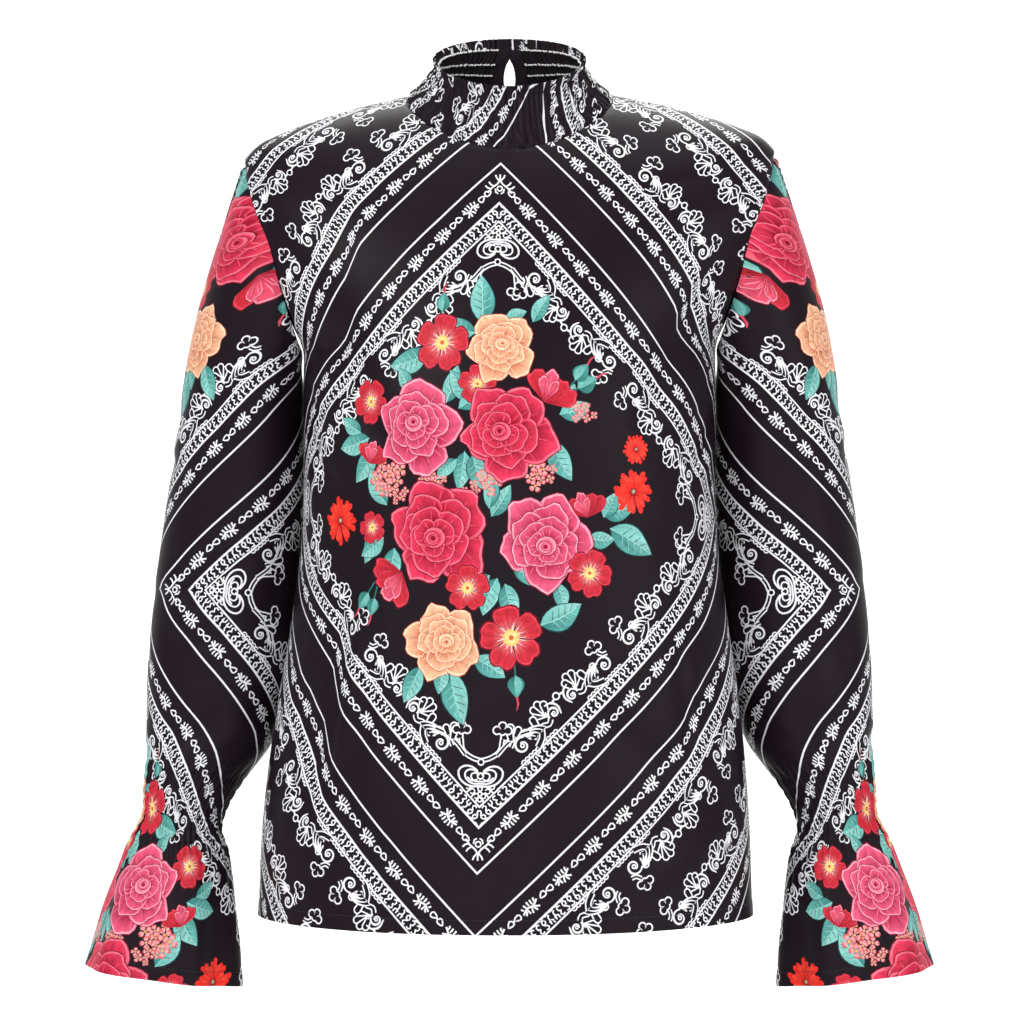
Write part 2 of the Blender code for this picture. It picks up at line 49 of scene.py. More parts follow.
CLOTH = 0.7 * MM
SEAM_GAP = 0.3 * MM
SHOULDER_LEAN = 3.5 * MM
SHOULDER_X = 206.5 * MM
LEAN_FULL_Z = -0.15
LEAN_NONE_Z = -0.58
HEM_SWING = -3.0 * MM
SWING_FULL_Z = -0.60
SWING_NONE_Z = -0.40

BODY_COLUMNS = (
    "front_edge_x", "back_edge_x", "edge_z", "front_edge_y", "back_edge_y", "side_y",
    "front_y", "front_z", "back_y", "back_z", "lift", "roundness",
)
BODY = {
    "hem": (191.5, 191.5, -632, -16, -16, -16, -145, -636, 124, -634, 0, 2.2),
    "low hip": (188.5, 188.5, -560, -17, -17, -17, -141, -562, 119, -561, 0, 2.2),
    "hip": (181, 181, -485, -18, -18, -18, -137, -487, 112, -486, 0, 2.2),
    "high hip": (169, 169, -405, -18, -18, -18, -134, -407, 103, -406, 0, 2.2),
    "waist": (160.5, 160.5, -335, -18, -18, -18, -133.5, -339, 98, -337, 0, 2.2),
    "ribs": (159.5, 159.5, -270, -17, -17, -17, -136, -278, 101, -274, 0, 2.2),
    "bust": (160, 160, -228, -14, -14, -14, -134.5, -242, 104, -236, 0, 2.2),
    "underarm": (160, 160, -197, -9, -9, -9, -130.5, -214, 105.5, -207, 0, 2.15),
    "scye bottom": (162, 164, -188, -32, 24, -6, -127, -197, 106.5, -189, 0, 2.1),
    "scye": (168, 173, -170, -48, 42, -4, -122, -178, 107, -168, 0, 2.1),
    "low notch": (177, 184, -142, -58, 54, -2, -115.5, -155, 106, -143, 0, 2.1),
    "notch": (185, 192, -112, -57, 55, 0, -108, -133, 103, -119, 0, 2.1),
    "high notch": (196, 200, -86, -46, 46, 0, -101, -114, 99, -98, 2, 2.1),
    "cap": (203, 204, -64, -29, 31, 1, -95.5, -100, 95, -80, 4, 2.05),
    "cap top": (206, 206, -49, -11, 13, 1, -91.5, -90, 92, -68, 6, 2.0),
    "shoulder tip": (206.5, 206.5, -42, 1, 1, 1, -89, -84, 90, -60, 8, 2.0),
    "round of shoulder": (197, 197, -32, 1, 1, 1, -87, -79, 88, -52, 10, 2.0),
    "outer shoulder": (178, 178, -23, 1, 1, 1, -84, -72, 85, -43, 12, 2.0),
    "shoulder": (146, 146, -12.5, 1, 1, 1, -79, -61, 79, -25, 17, 2.0),
    "inner shoulder": (112, 112, -4, 1, 1, 1, -74, -51, 72, -8, 22, 2.0),
    "neck": (81, 81, 1, 0, 0, 0, -70, -43, 65, 5, 24, 2.0),
}
COLLAR = {
    "neck": (81, 81, 1, 0, 0, 0, -70, -43, 65, 5, 24, 2.0),
    "low stand": (71, 71, 9.5, 0, 0, 0, -67, -32, 60.5, 16, 24, 2.0),
    "stand": (63.5, 63.5, 18.5, 0, 0, 0, -64.2, -17, 57.3, 31, 24, 2.0),
    "top elastic": (58, 58, 25.5, 0, 0, 0, -61.8, -6, 54.6, 43, 24, 2.0),
    "rim": (59, 59, 32.5, 0, 0, 0, -62.5, 4.6, 55.5, 54.5, 24.5, 2.0),
}
SLEEVE_COLUMNS = ("centre_x", "centre_y", "centre_z", "half_width", "half_depth", "tilt")
SLEEVE = {
    "upper arm": (208.4, 15, -238, 48.6, 62, 3),
    "above elbow": (213.8, 27, -312, 55.7, 58, 4),
    "elbow": (223, 31, -400, 58, 55, 5),
    "forearm": (230.7, 31, -466, 55.3, 51, 6),
    "low forearm": (237.5, 28, -500, 48.5, 46, 8),
    "droop": (246.7, 24, -522, 39.6, 41, 12),
    "above wrist": (254, 20, -545, 33.7, 34, 12),
    "wrist": (257, 17, -565, 32, 29, 11),
    "under wrist": (258.3, 16, -580, 38.3, 33.5, 9),
    "top of flare": (260.6, 16, -599, 44, 38, 8),
    "flare": (264.6, 15, -626, 50.5, 42.5, 8),
    "low flare": (267.8, 14, -655, 56.2, 46, 7),
    "cuff hem": (271, 14, -683.5, 61, 48.5, 7),
}
FOLD_COLUMNS = ("x0", "y0", "z0", "x1", "y1", "z1", "width", "depth")
FOLDS = {
    "front": (
        (-150, -90, -175, -85, -125, -290, 16, 5),
        (150, -90, -170, 95, -125, -270, 16, 5),
        (60, -140, -470, 165, -70, -560, 18, 4),
        (-170, -70, -440, -95, -125, -600, 20, 4),
    ),
    "back": (
        (-150, 80, -175, -90, 100, -290, 18, 5),
        (150, 80, -175, 85, 100, -300, 18, 5),
        (-110, 95, -360, 30, 105, -385, 18, 4),
        (60, 110, -460, 150, 70, -560, 20, 4),
    ),
    "sleeve": (
        (185, -45, -200, 245, -40, -262, 14, 5),
        (265, -10, -385, 200, -28, -355, 14, 5),
        (275, 0, -430, 205, -25, -415, 13, 4),
        (276, 0, -500, 215, -20, -478, 12, 4),
        (190, 62, -350, 262, 60, -320, 16, 5),
        (196, 68, -420, 268, 62, -400, 14, 5),
    ),
}
FOLD_END = 0.25
ROW_SAMPLES = 240
GRID_STEP = 4.5  # mm between the points that carry the cloth's form
EDGE_STEPS = (0.0, 0.9, 1.9, 3.2)  # mm in from an edge, where the points lie closer
SEAM_LIP = 3.0 * MM
FLARE_WAVES = 6
FLARE_WAVE = 3.0 * MM


def unit(vectors):
    return vectors / np.maximum(np.linalg.norm(vectors, axis=-1, keepdims=True), 1e-12)


def ease(share):
    share = np.clip(share, 0.0, 1.0)
    return share * share * (3.0 - 2.0 * share)


def dot(a, b):
    return (a * b).sum(axis=-1)


def distances(line):
    """How far along a line each of its points lies."""
    return np.concatenate(((0.0,), np.cumsum(np.linalg.norm(np.diff(line, axis=0), axis=1))))


def turn_ways(count):
    """Angles all round a circle."""
    return np.arange(count) * 2 * math.pi / count


def smooth(knots, values, wanted):
    """Reads the smooth curve that passes through the values, a row of columns at each knot."""
    knots = np.asarray(knots, float)
    values = np.asarray(values, float)
    wanted = np.atleast_1d(np.asarray(wanted, float))
    slopes = np.gradient(values, knots, axis=0)
    i = np.clip(np.searchsorted(knots, wanted, side="right") - 1, 0, len(knots) - 2)
    span = (knots[i + 1] - knots[i])[:, None]
    t = (wanted - knots[i])[:, None] / span
    start = (1 + 2 * t) * (1 - t) ** 2 * values[i] + t * (1 - t) ** 2 * span * slopes[i]
    end = t * t * (3 - 2 * t) * values[i + 1] - t * t * (1 - t) * span * slopes[i + 1]
    return start + end


def body_knots(table):
    """How far up the cloth each section of the table lies, midway between its edge and the front."""
    rows = np.array(list(table.values()), float)
    column = {name: rows[:, k] for k, name in enumerate(BODY_COLUMNS)}
    edge = np.stack((column["front_edge_x"], column["front_edge_y"], column["edge_z"]), axis=1)
    front = np.stack((column["front_y"], column["front_z"]), axis=1)
    steps = np.linalg.norm(np.diff(edge, axis=0), axis=1) + np.linalg.norm(np.diff(front, axis=0), axis=1)
    return np.concatenate(((0.0,), np.cumsum(steps)))


def spread(length, step, edge_steps):
    """Places from 0 to a length, closer together near both ends, as shares of it."""
    inner = np.arange(edge_steps[-1], length - edge_steps[-1], step)[1:]
    near = np.array(edge_steps)
    return np.concatenate((near, inner, (length - near)[::-1])) / length


def section_line(values, side):
    """Half a section of the body, from the middle of its front (side -1) or back (side +1) to +X."""
    row = dict(zip(BODY_COLUMNS, values))
    panel = "front" if side < 0 else "back"
    edge_x = row[panel + "_edge_x"] * MM
    edge_y = row[panel + "_edge_y"] * MM + side * SEAM_GAP / 2
    side_y = row["side_y"] * MM
    middle_y = row[panel + "_y"] * MM
    edge_z = row["edge_z"] * MM
    rise = side * row["lift"] * MM
    drop = row[panel + "_z"] * MM - edge_z - rise
    power = 2.0 / row["roundness"]
    edge_share = max((edge_y - side_y) / (middle_y - side_y), 1e-6)
    edge_turn = math.acos(edge_share ** (1.0 / power))
    half_width = edge_x / math.sin(edge_turn) ** power
    turn = np.linspace(0.0, edge_turn, ROW_SAMPLES)
    x = half_width * np.sin(turn) ** power
    y = side_y + (middle_y - side_y) * np.cos(turn) ** power
    q = (y - edge_y) / (middle_y - edge_y)
    z = edge_z + rise * q + drop * q * q
    return np.stack((x, y, z), axis=1)


def divided(line, shares, values=None):
    """The points at the given shares of a line's length, or other values that its points have."""
    along = distances(line)
    wanted = np.asarray(shares) * along[-1]
    values = line if values is None else values
    return np.stack([np.interp(wanted, along, values[:, k]) for k in range(3)], axis=1)


def whole_section(values, side, shares):
    """A section from -X to +X, divided at the shares."""
    half = section_line(values, side)
    mirrored = half[:0:-1] * (-1.0, 1.0, 1.0)
    return divided(np.concatenate((mirrored, half)), shares)


def lean(points):
    """Lifts the shoulder on +X a little and lowers the other one."""
    share = ease((points[..., 2] - LEAN_NONE_Z) / (LEAN_FULL_Z - LEAN_NONE_Z))
    across = points[..., 0] / SHOULDER_X
    leaned = points.copy()
    leaned[..., 2] += SHOULDER_LEAN * across * np.abs(across) * share
    return leaned


def swing(points):
    """Moves the lower body to one side."""
    share = ease((points[..., 2] - SWING_NONE_Z) / (SWING_FULL_Z - SWING_NONE_Z))
    swung = points.copy()
    swung[..., 0] += HEM_SWING * share
    return swung


def grid_normals(points):
    """Normals of a grid of points, which has rows going up and columns going across."""
    up = np.gradient(points, axis=0)
    across = np.gradient(points, axis=1)
    return unit(np.cross(across, up))


def fold_depths(points, folds, mirror=1.0):
    """How far each point sinks in the folds that pass near it. A fold with a depth below zero stands up."""
    depth = np.zeros(points.shape[:-1])
    for fold in folds:
        f = dict(zip(FOLD_COLUMNS, fold))
        start = np.array((f["x0"] * mirror, f["y0"], f["z0"])) * MM
        end = np.array((f["x1"] * mirror, f["y1"], f["z1"])) * MM
        line = end - start
        share = (points - start) @ line / (line @ line)
        nearest = start + np.clip(share, 0.0, 1.0)[..., None] * line
        away = np.linalg.norm(points - nearest, axis=-1) / (f["width"] * MM)
        alive = ease(share / FOLD_END) * ease((1.0 - share) / FOLD_END)
        depth += f["depth"] * MM * np.exp(-away * away) * alive
    return depth


CREASE_COLUMNS = ("u0", "v0", "u1", "v1", "bend", "width", "depth")


def crease_depths(u, v, creases):
    """How far each flat place sinks in the soft creases near it. A crease runs between two places, bows
    to one side, and has a low ridge on its upper side."""
    depth = np.zeros(u.shape)
    for crease in creases:
        c = dict(zip(CREASE_COLUMNS, crease))
        line = np.array((c["u1"] - c["u0"], c["v1"] - c["v0"]))
        length = np.linalg.norm(line)
        along = line / length
        share = ((u - c["u0"]) * along[0] + (v - c["v0"]) * along[1]) / length
        bow = c["bend"] * 4 * share * (1 - share)
        away = (u - c["u0"]) * -along[1] + (v - c["v0"]) * along[0] - bow
        alive = ease(share / 0.4) * ease((1.0 - share) / 0.4)
        trough = np.exp(-(away / c["width"]) ** 2)
        ridge = 0.6 * np.exp(-((away - 1.7 * c["width"]) / (1.1 * c["width"])) ** 2)
        depth += c["depth"] * MM * (trough - ridge) * alive
    return depth


def flatten(points, upward, base, middle):
    """Lays a grid flat, working out from one row and one column. Returns how far across and how far up
    each point is, in millimetres, across being to the right for someone who looks at its outer face."""
    normals = grid_normals(points)
    up = unit(upward - dot(upward, normals)[..., None] * normals)
    across = np.cross(up, normals)
    if dot(across[base, middle], points[base, middle + 1] - points[base, middle]) < 0:
        across = -across
    u = np.zeros(points.shape[:2])
    v = np.zeros(points.shape[:2])

    def step(to, come):
        way = points[to] - points[come]
        u[to] = u[come] + dot(way, unit(across[to] + across[come])) / MM
        v[to] = v[come] + dot(way, unit(up[to] + up[come])) / MM

    for i in range(middle + 1, points.shape[1]):
        step((base, i), (base, i - 1))
    for i in range(middle - 1, -1, -1):
        step((base, i), (base, i + 1))
    for j in range(base + 1, points.shape[0]):
        step(j, j - 1)
    for j in range(base - 1, -1, -1):
        step(j, j + 1)
    return u, v


def flat_tree(places):
    """A tree that finds the nearest of some flat places."""
    tree = kdtree.KDTree(len(places))
    for k, (x, y) in enumerate(places):
        tree.insert((x, y, 0.0), k)
    tree.balance()
    return tree


def doubled_area(loop):
    """Twice the area within a flat loop, above zero if it runs to the left."""
    after = np.roll(loop, -1, axis=0)
    return (loop[:, 0] * after[:, 1] - loop[:, 1] * after[:, 0]).sum()


LOCATE_ROUNDS = 10


class Cloth:
    """A piece of cloth as a grid: its points in space, and their places in its flat cut."""

    def __init__(self, name, points, u, v):
        self.name = name
        self.points = points
        self.u = u
        self.v = v
        faces_right = np.sign((np.gradient(u, axis=1) * np.gradient(v, axis=0)
                               - np.gradient(v, axis=1) * np.gradient(u, axis=0)).sum())
        self.flip = 1.0 if faces_right > 0 else -1.0
        self.normals = grid_normals(points) * self.flip

    def sink(self, depths):
        """Moves the points in along their normals."""
        self.points = self.points - self.normals * depths[..., None]
        self.normals = grid_normals(self.points) * self.flip

    def edge(self):
        """The flat places round the edge, in order."""
        flat = np.stack((self.u, self.v), axis=2)
        return np.concatenate((flat[0], flat[1:, -1], flat[-1, -2::-1], flat[-2:0:-1, 0]))

    def inside(self, kept):
        """The flat places of the kept points that aren't on the edge."""
        kept = kept[1:-1, 1:-1]
        return np.stack((self.u[1:-1, 1:-1][kept], self.v[1:-1, 1:-1][kept]), axis=1)

    def locate(self, places):
        """The real-valued row and column of each flat place."""
        if not hasattr(self, "tree"):
            self.tree = flat_tree(list(zip(self.u.ravel(), self.v.ravel())))
        rows, columns = self.u.shape
        nearest = np.array([self.tree.find((a, b, 0.0))[1] for a, b in places])
        r = (nearest // columns).astype(float)
        c = (nearest % columns).astype(float)
        for _ in range(LOCATE_ROUNDS):
            j = np.clip(r.astype(int), 0, rows - 2)
            i = np.clip(c.astype(int), 0, columns - 2)
            s = r - j
            t = c - i
            corner = [np.stack((self.u[j + a, i + b], self.v[j + a, i + b]), axis=1)
                      for a, b in ((0, 0), (0, 1), (1, 0), (1, 1))]
            low = corner[0] + (corner[1] - corner[0]) * t[:, None]
            high = corner[2] + (corner[3] - corner[2]) * t[:, None]
            miss = places - (low + (high - low) * s[:, None])
            by_row = high - low
            by_column = (corner[1] - corner[0]) * (1 - s)[:, None] + (corner[3] - corner[2]) * s[:, None]
            size = by_row[:, 0] * by_column[:, 1] - by_row[:, 1] * by_column[:, 0]
            size = np.where(np.abs(size) < 1e-9, 1e-9, size)
            dr = (miss[:, 0] * by_column[:, 1] - miss[:, 1] * by_column[:, 0]) / size
            dc = (by_row[:, 0] * miss[:, 1] - by_row[:, 1] * miss[:, 0]) / size
            r = np.clip(r + np.clip(dr, -1.5, 1.5), 0, rows - 1)
            c = np.clip(c + np.clip(dc, -1.5, 1.5), 0, columns - 1)
        return r, c

    def read(self, grid, r, c):
        """Reads a grid of vectors between its points, on the smooth surface through them."""
        rows, columns = grid.shape[:2]
        j = np.clip(r.astype(int), 0, rows - 2)
        i = np.clip(c.astype(int), 0, columns - 2)
        total = 0.0
        for a, wa in enumerate(bend_weights(r - j)):
            line = 0.0
            for b, wb in enumerate(bend_weights(c - i)):
                at_row = np.clip(j + a - 1, 0, rows - 1)
                at_column = np.clip(i + b - 1, 0, columns - 1)
                line = line + grid[at_row, at_column] * wb[:, None]
            total = total + line * wa[:, None]
        return total

    def at(self, places):
        """Points and normals at flat places."""
        r, c = self.locate(np.asarray(places, float))
        return self.read(self.points, r, c), unit(self.read(self.normals, r, c))


def bend_weights(t):
    """The shares of four points in a row, for a place between the middle two."""
    return (
        -0.5 * t + t * t - 0.5 * t ** 3,
        1.0 - 2.5 * t * t + 1.5 * t ** 3,
        0.5 * t + 2.0 * t * t - 1.5 * t ** 3,
        -0.5 * t * t + 0.5 * t ** 3,
    )


# The finer creases, on the flat cut of each piece: across from its middle line, and up from the hem or, on
# the sleeve, from the row at the top of the arm.
CREASES = {
    "front": (
        (-127, 280, -163, 70, 4, 7, 2.6), (-108, 262, -132, 80, 4, 10, 1.4), (137, 235, 149, 105, 3, 7, 1.6),
        (70, 35, 190, 120, 6, 9, 1.6), (95, 20, 205, 75, -5, 8, 1.4), (60, 80, 150, 150, 5, 10, 1.2),
        (20, 40, 95, 112, -6, 9, 1.1), (140, 150, 212, 210, 6, 9, 1.3), (-200, 40, -110, 150, 8, 10, 1.5),
        (-150, 15, -70, 90, -6, 9, 1.2), (-205, 130, -140, 215, 6, 9, 1.2), (60, 318, 150, 330, 4, 6, 0.9),
        (75, 296, 168, 300, -3, 6, 0.8), (-20, 262, 60, 268, 3, 6, 0.6), (-130, 330, -60, 318, -4, 7, 0.7),
        (-214, 400, -140, 330, -10, 8, 1.7), (-216, 425, -150, 372, -8, 7, 1.5),
        (214, 400, 146, 340, 10, 8, 1.7), (216, 428, 158, 380, 8, 7, 1.4), (-190, 300, -100, 262, 8, 9, 1.0),
        (190, 300, 110, 268, -8, 9, 1.0), (-90, 520, -140, 470, 6, 8, 0.8), (90, 525, 150, 468, -6, 8, 0.9),
        (-40, 150, 30, 190, 6, 10, 0.7), (-12, 556, -22, 520, 2, 4, 0.7), (16, 556, 30, 515, 2, 4, 0.7),
        (44, 552, 70, 520, 3, 5, 0.7), (-44, 552, -66, 516, -3, 5, 0.7),
    ),
    "back": (
        (-195, 60, -80, 140, 8, 10, 1.5), (90, 30, 200, 110, -6, 9, 1.4), (-60, 250, 60, 262, 8, 9, 1.2),
        (-110, 290, 30, 300, -6, 8, 1.0), (-210, 410, -120, 340, -8, 8, 1.5), (212, 415, 130, 345, 8, 8, 1.5),
        (-60, 480, 60, 486, 6, 10, 1.0), (40, 180, 170, 230, 6, 9, 1.1), (-170, 190, -70, 170, 6, 9, 1.0),
        (-30, 600, -50, 560, 3, 5, 0.8), (30, 600, 48, 560, -3, 5, 0.8),
    ),
    "sleeve": (
        (-60, -60, 60, -40, 8, 8, 1.3), (-150, -80, -60, -120, 8, 8, 1.3), (30, -95, 140, -130, -8, 8, 1.3),
        (-110, -160, 20, -150, 8, 8, 1.4), (-20, -185, 110, -210, -8, 8, 1.4),
        (-150, -225, -30, -205, 8, 8, 1.3), (10, -240, 150, -228, 8, 8, 1.2),
        (-60, -262, 60, -268, -6, 7, 1.3), (-170, -255, -90, -275, 5, 7, 1.2),
        (60, -272, 165, -262, 5, 7, 1.2),
        (-40, 20, 10, -30, 5, 7, 0.9), (50, 10, 90, -40, -5, 7, 0.9),
    ),
}


PANEL_WIDTH = 470.0  # mm across a panel, for the count of its columns
SHOULDER_TURN_Z = -0.20  # from here up, the way up the cut leans over the shoulder
SHOULDER_TURN = 0.16


def panel(name, side):
    """The front (side -1) or the back (side +1)."""
    knots = body_knots(BODY)
    tall = knots[-1]
    rows = smooth(knots, list(BODY.values()), spread(tall, GRID_STEP, EDGE_STEPS) * tall)
    shares = spread(PANEL_WIDTH, GRID_STEP, EDGE_STEPS)
    if len(shares) % 2 == 0:
        shares = spread(PANEL_WIDTH - 0.5 * GRID_STEP, GRID_STEP, EDGE_STEPS)
    points = swing(lean(np.array([whole_section(values, side, shares) for values in rows])))
    if side > 0:
        points = points[:, ::-1]
    middle = points.shape[1] // 2
    over = ease((points[..., 2] - SHOULDER_TURN_Z) / SHOULDER_TURN)
    upward = np.stack((0 * over, -side * 0.9 * over, 1 + 0 * over), axis=-1)
    u, v = flatten(points, upward, 0, middle)
    cloth = Cloth(name, points, u, v)
    row_lengths = np.abs(u[:, -1] - u[:, 0])
    across = np.linspace(-1.0, 1.0, points.shape[1])
    from_edge = (1.0 - np.abs(across))[None, :] * row_lengths[:, None] / 2
    clear = ease(from_edge / 30.0)
    cloth.sink(fold_depths(cloth.points, FOLDS[name]) * clear)
    cloth.sink(crease_depths(u, v, CREASES[name]) * ease(from_edge / 12.0))
    return cloth


def sleeve_ring(values, turns):
    """A section of the sleeve, round from its underarm side."""
    s = dict(zip(SLEEVE_COLUMNS, values))
    tilt = math.radians(s["tilt"])
    across = -np.cos(turns) * s["half_width"] * MM
    x = s["centre_x"] * MM + across * math.cos(tilt)
    y = s["centre_y"] * MM - np.sin(turns) * s["half_depth"] * MM
    z = s["centre_z"] * MM + across * math.sin(tilt)
    return np.stack((x, y, z), axis=1)


def armhole(count):
    """The armhole on +X, from the underarm up the front to the shoulder tip and down the back, with the
    way that cloth leaves it along the panels' own surface."""
    knots = body_knots(BODY)
    names = list(BODY)
    under = knots[names.index("underarm")]
    tip = knots[names.index("shoulder tip")]
    heights = np.linspace(under, tip, 60)
    rows = smooth(knots, list(BODY.values()), heights)
    before = smooth(knots, list(BODY.values()), [under - 4.0, tip + 4.0])
    lines = {side: [section_line(values, side) for values in rows] for side in (-1, 1)}
    ends = {side: np.array([line[-1] for line in lines[side]]) for side in (-1, 1)}
    ways = {}
    for side in (-1, 1):
        along = unit(np.gradient(ends[side], axis=0))
        way = unit(np.array([line[-1] - line[-4] for line in lines[side]]))
        way = way - dot(way, along)[:, None] * along
        way[0] = ends[side][0] - section_line(before[0], side)[-1]
        way[-1] = ends[side][-1] - section_line(before[1], side)[-1]
        ways[side] = unit(way)
    points = np.concatenate((ends[-1], ends[1][::-1]))
    way = np.concatenate((ways[-1], ways[1][::-1]))
    for _ in range(6):
        way = unit(np.roll(way, 1, axis=0) + 2 * way + np.roll(way, -1, axis=0))
    shares = np.linspace(0.0, 1.0, count)
    return divided(points, shares), unit(divided(points, shares, way)), 2 * math.pi * shares


GATHER_START_Z = -0.502
CAP_ROWS = 34
SLEEVE_COLUMNS_ROUND = 241
SLEEVE_FLAT_WIDTH = 352.0  # mm round the sleeve's cut
GATHER_STEP = 1.6  # mm between the rows of the gathered wrist
GATHER_END = -600.0
FLARE_STEP = 3.4
WRIST_ROWS_Z = tuple(-0.5235 - 0.0085 * k for k in range(8))  # where the elastic threads run
WRIST_GATHERS = 56


def gather_wave(phase, seed):
    """A run of uneven gathers: rounded ridges with narrow grooves between them, from 0 to 1."""
    drift = 1.1 * np.sin(phase * 0.137 + seed) + 0.8 * np.sin(phase * 0.061 + 2 * seed)
    ridge = np.abs(np.sin((phase + drift) / 2))
    uneven = 0.75 + 0.25 * np.sin(phase * 0.31 + 3 * seed)
    return ridge ** 0.8 * uneven


def sleeve(name, mirror):
    """A sleeve, in rows from the cuff's hem up to the armhole, round from the underarm seam."""
    seam, ways, turns = armhole(SLEEVE_COLUMNS_ROUND)
    facing_down = (1.0 + np.cos(turns)) / 2
    leave = np.broadcast_arrays(0.29 - 0.14 * facing_down, -0.15 * np.sin(turns), -0.95)
    leave = unit(np.stack(leave, axis=1))
    lip_way = unit(ways * (1.0 - facing_down)[:, None] + leave * facing_down[:, None])
    start = seam + ways * SEAM_GAP
    lip = start + lip_way * SEAM_LIP
    upper_arm = sleeve_ring(SLEEVE["upper arm"], turns)
    reach = np.linalg.norm(upper_arm - lip, axis=1)[:, None]
    arrive = np.array((0.06, 0.0, -1.0))
    cap = [start, start + lip_way * SEAM_LIP / 3, start + lip_way * SEAM_LIP * 2 / 3, lip]
    for t in np.linspace(0.0, 1.0, CAP_ROWS + 1)[1:]:
        cap.append(
            (1 + 2 * t) * (1 - t) ** 2 * lip
            + t * (1 - t) ** 2 * reach * leave
            + t * t * (3 - 2 * t) * upper_arm
            - t * t * (1 - t) * reach * arrive
        )
    rows = np.array(list(SLEEVE.values()), float)
    middle_z = rows[:, SLEEVE_COLUMNS.index("centre_z")]
    top_z = SLEEVE["upper arm"][2]
    low_z = SLEEVE["cuff hem"][2]
    heights = np.concatenate((
        np.arange(top_z - GRID_STEP, GATHER_START_Z / MM, -GRID_STEP),
        np.arange(GATHER_START_Z / MM, GATHER_END, -GATHER_STEP),
        np.arange(GATHER_END, low_z + EDGE_STEPS[-1], -FLARE_STEP),
        low_z + np.array(EDGE_STEPS[::-1]),
    ))
    lower = []
    for k, values in enumerate(smooth(-middle_z, rows, -heights)):
        ring = sleeve_ring(values, turns)
        flare = ease((-582.0 - heights[k]) / 70.0)
        wave = FLARE_WAVE * flare * np.sin(FLARE_WAVES * turns + 0.8 * np.sin(turns))
        lower.append(ring + unit(ring - ring.mean(axis=0)) * wave[:, None])
    points = lean(np.array(cap + lower) * (mirror, 1.0, 1.0))[::-1]
    if mirror < 0:
        points = points[:, ::-1]
        turns = turns[::-1]
    base = len(lower)
    rise = np.zeros(len(points))
    rise[base:] = np.linspace(0.0, 1.0, len(points) - base)
    upward = np.broadcast_to(np.array((-0.06 * mirror, 0.0, 1.0)), points.shape).copy()
    upward[..., 0] -= 0.9 * mirror * rise[:, None]
    u, v = flatten(points, upward, base, SLEEVE_COLUMNS_ROUND // 2)
    worn = u[base].copy()
    u[:base + 1] = np.linspace(-0.5, 0.5, SLEEVE_COLUMNS_ROUND) * SLEEVE_FLAT_WIDTH
    u[base + 1:] += u[base] - worn
    cloth = Cloth(name, points, u, v)
    below_cap = ease(np.arange(len(points), 0, -1) / CAP_ROWS - 0.3)[:, None]
    cloth.sink(fold_depths(cloth.points, FOLDS["sleeve"], mirror) * below_cap)
    round_share = turns / (2 * math.pi)
    seam_clear = ease(round_share / 0.05) * ease((1 - round_share) / 0.05)
    cloth.sink(crease_depths(mirror * u, v, CREASES["sleeve"]) * below_cap * seam_clear[None, :])
    gather_sleeve(cloth, turns, heights[::-1], base, mirror)
    return cloth


def gather_sleeve(cloth, turns, heights, base, mirror):
    """Gathers the rows near the wrist, and draws them in along each elastic thread."""
    z = heights[:, None]
    first = WRIST_ROWS_Z[0] / MM
    last = WRIST_ROWS_Z[-1] / MM
    strength = ease((first + 24.0 - z) / 24.0) * ease((z - (last - 62.0)) / 62.0)
    near = ease((first + 6.0 - z) / 6.0) * ease((z - (last - 6.0)) / 6.0)
    phase = WRIST_GATHERS * turns[None, :]
    above = gather_wave(phase, 0.7 + mirror)
    below = gather_wave(phase * 0.55 + 1.0, 1.9 + mirror)
    upper = gather_wave(phase * 0.5 + 2.0, 2.9 + mirror)
    wave = above * near + below * (1 - near) * (z < last) + upper * (1 - near) * (z > first)
    amount = 1.9 * near + (1 - near) * 2.2 * strength
    rise = (wave - 0.45) * amount * strength
    for row in WRIST_ROWS_Z:
        rise = rise - 0.75 * np.exp(-((z - row / MM) / 1.5) ** 2)
    depth = np.zeros(cloth.u.shape)
    depth[:base] = -rise * MM
    cloth.sink(depth)


COLLAR_GATHERS = 96
COLLAR_FULLNESS = 1.40  # how much longer the collar's cut is than its gathered base
COLLAR_ROWS = 30
COLLAR_COLUMNS = 641
ELASTIC_UP = (0.455, 0.63, 0.84)  # shares of the way up the stand where its elastic threads run
KEYHOLE_BOTTOM = 0.20  # shares of the way up the back of the stand
KEYHOLE_TOP = 0.70
KEYHOLE_WIDTH = 10.0 * MM
KEYHOLE_SLIT = 0.8 * MM
KEYHOLE_SEAM = 0.05 * MM  # what is left open below the keyhole
PLAIN_BESIDE_KEYHOLE = 11.0


def keyhole_half(share):
    """Half the width of the opening at the back of the stand, at a share of the way up it."""
    t = (share - KEYHOLE_BOTTOM) / (KEYHOLE_TOP - KEYHOLE_BOTTOM)
    if t < 0:
        return KEYHOLE_SEAM
    if 0 < t < 1:
        return max(KEYHOLE_SLIT / 2, KEYHOLE_WIDTH * math.sqrt(t * (1 - t)) * (1.15 - 0.35 * t))
    return KEYHOLE_SLIT / 2


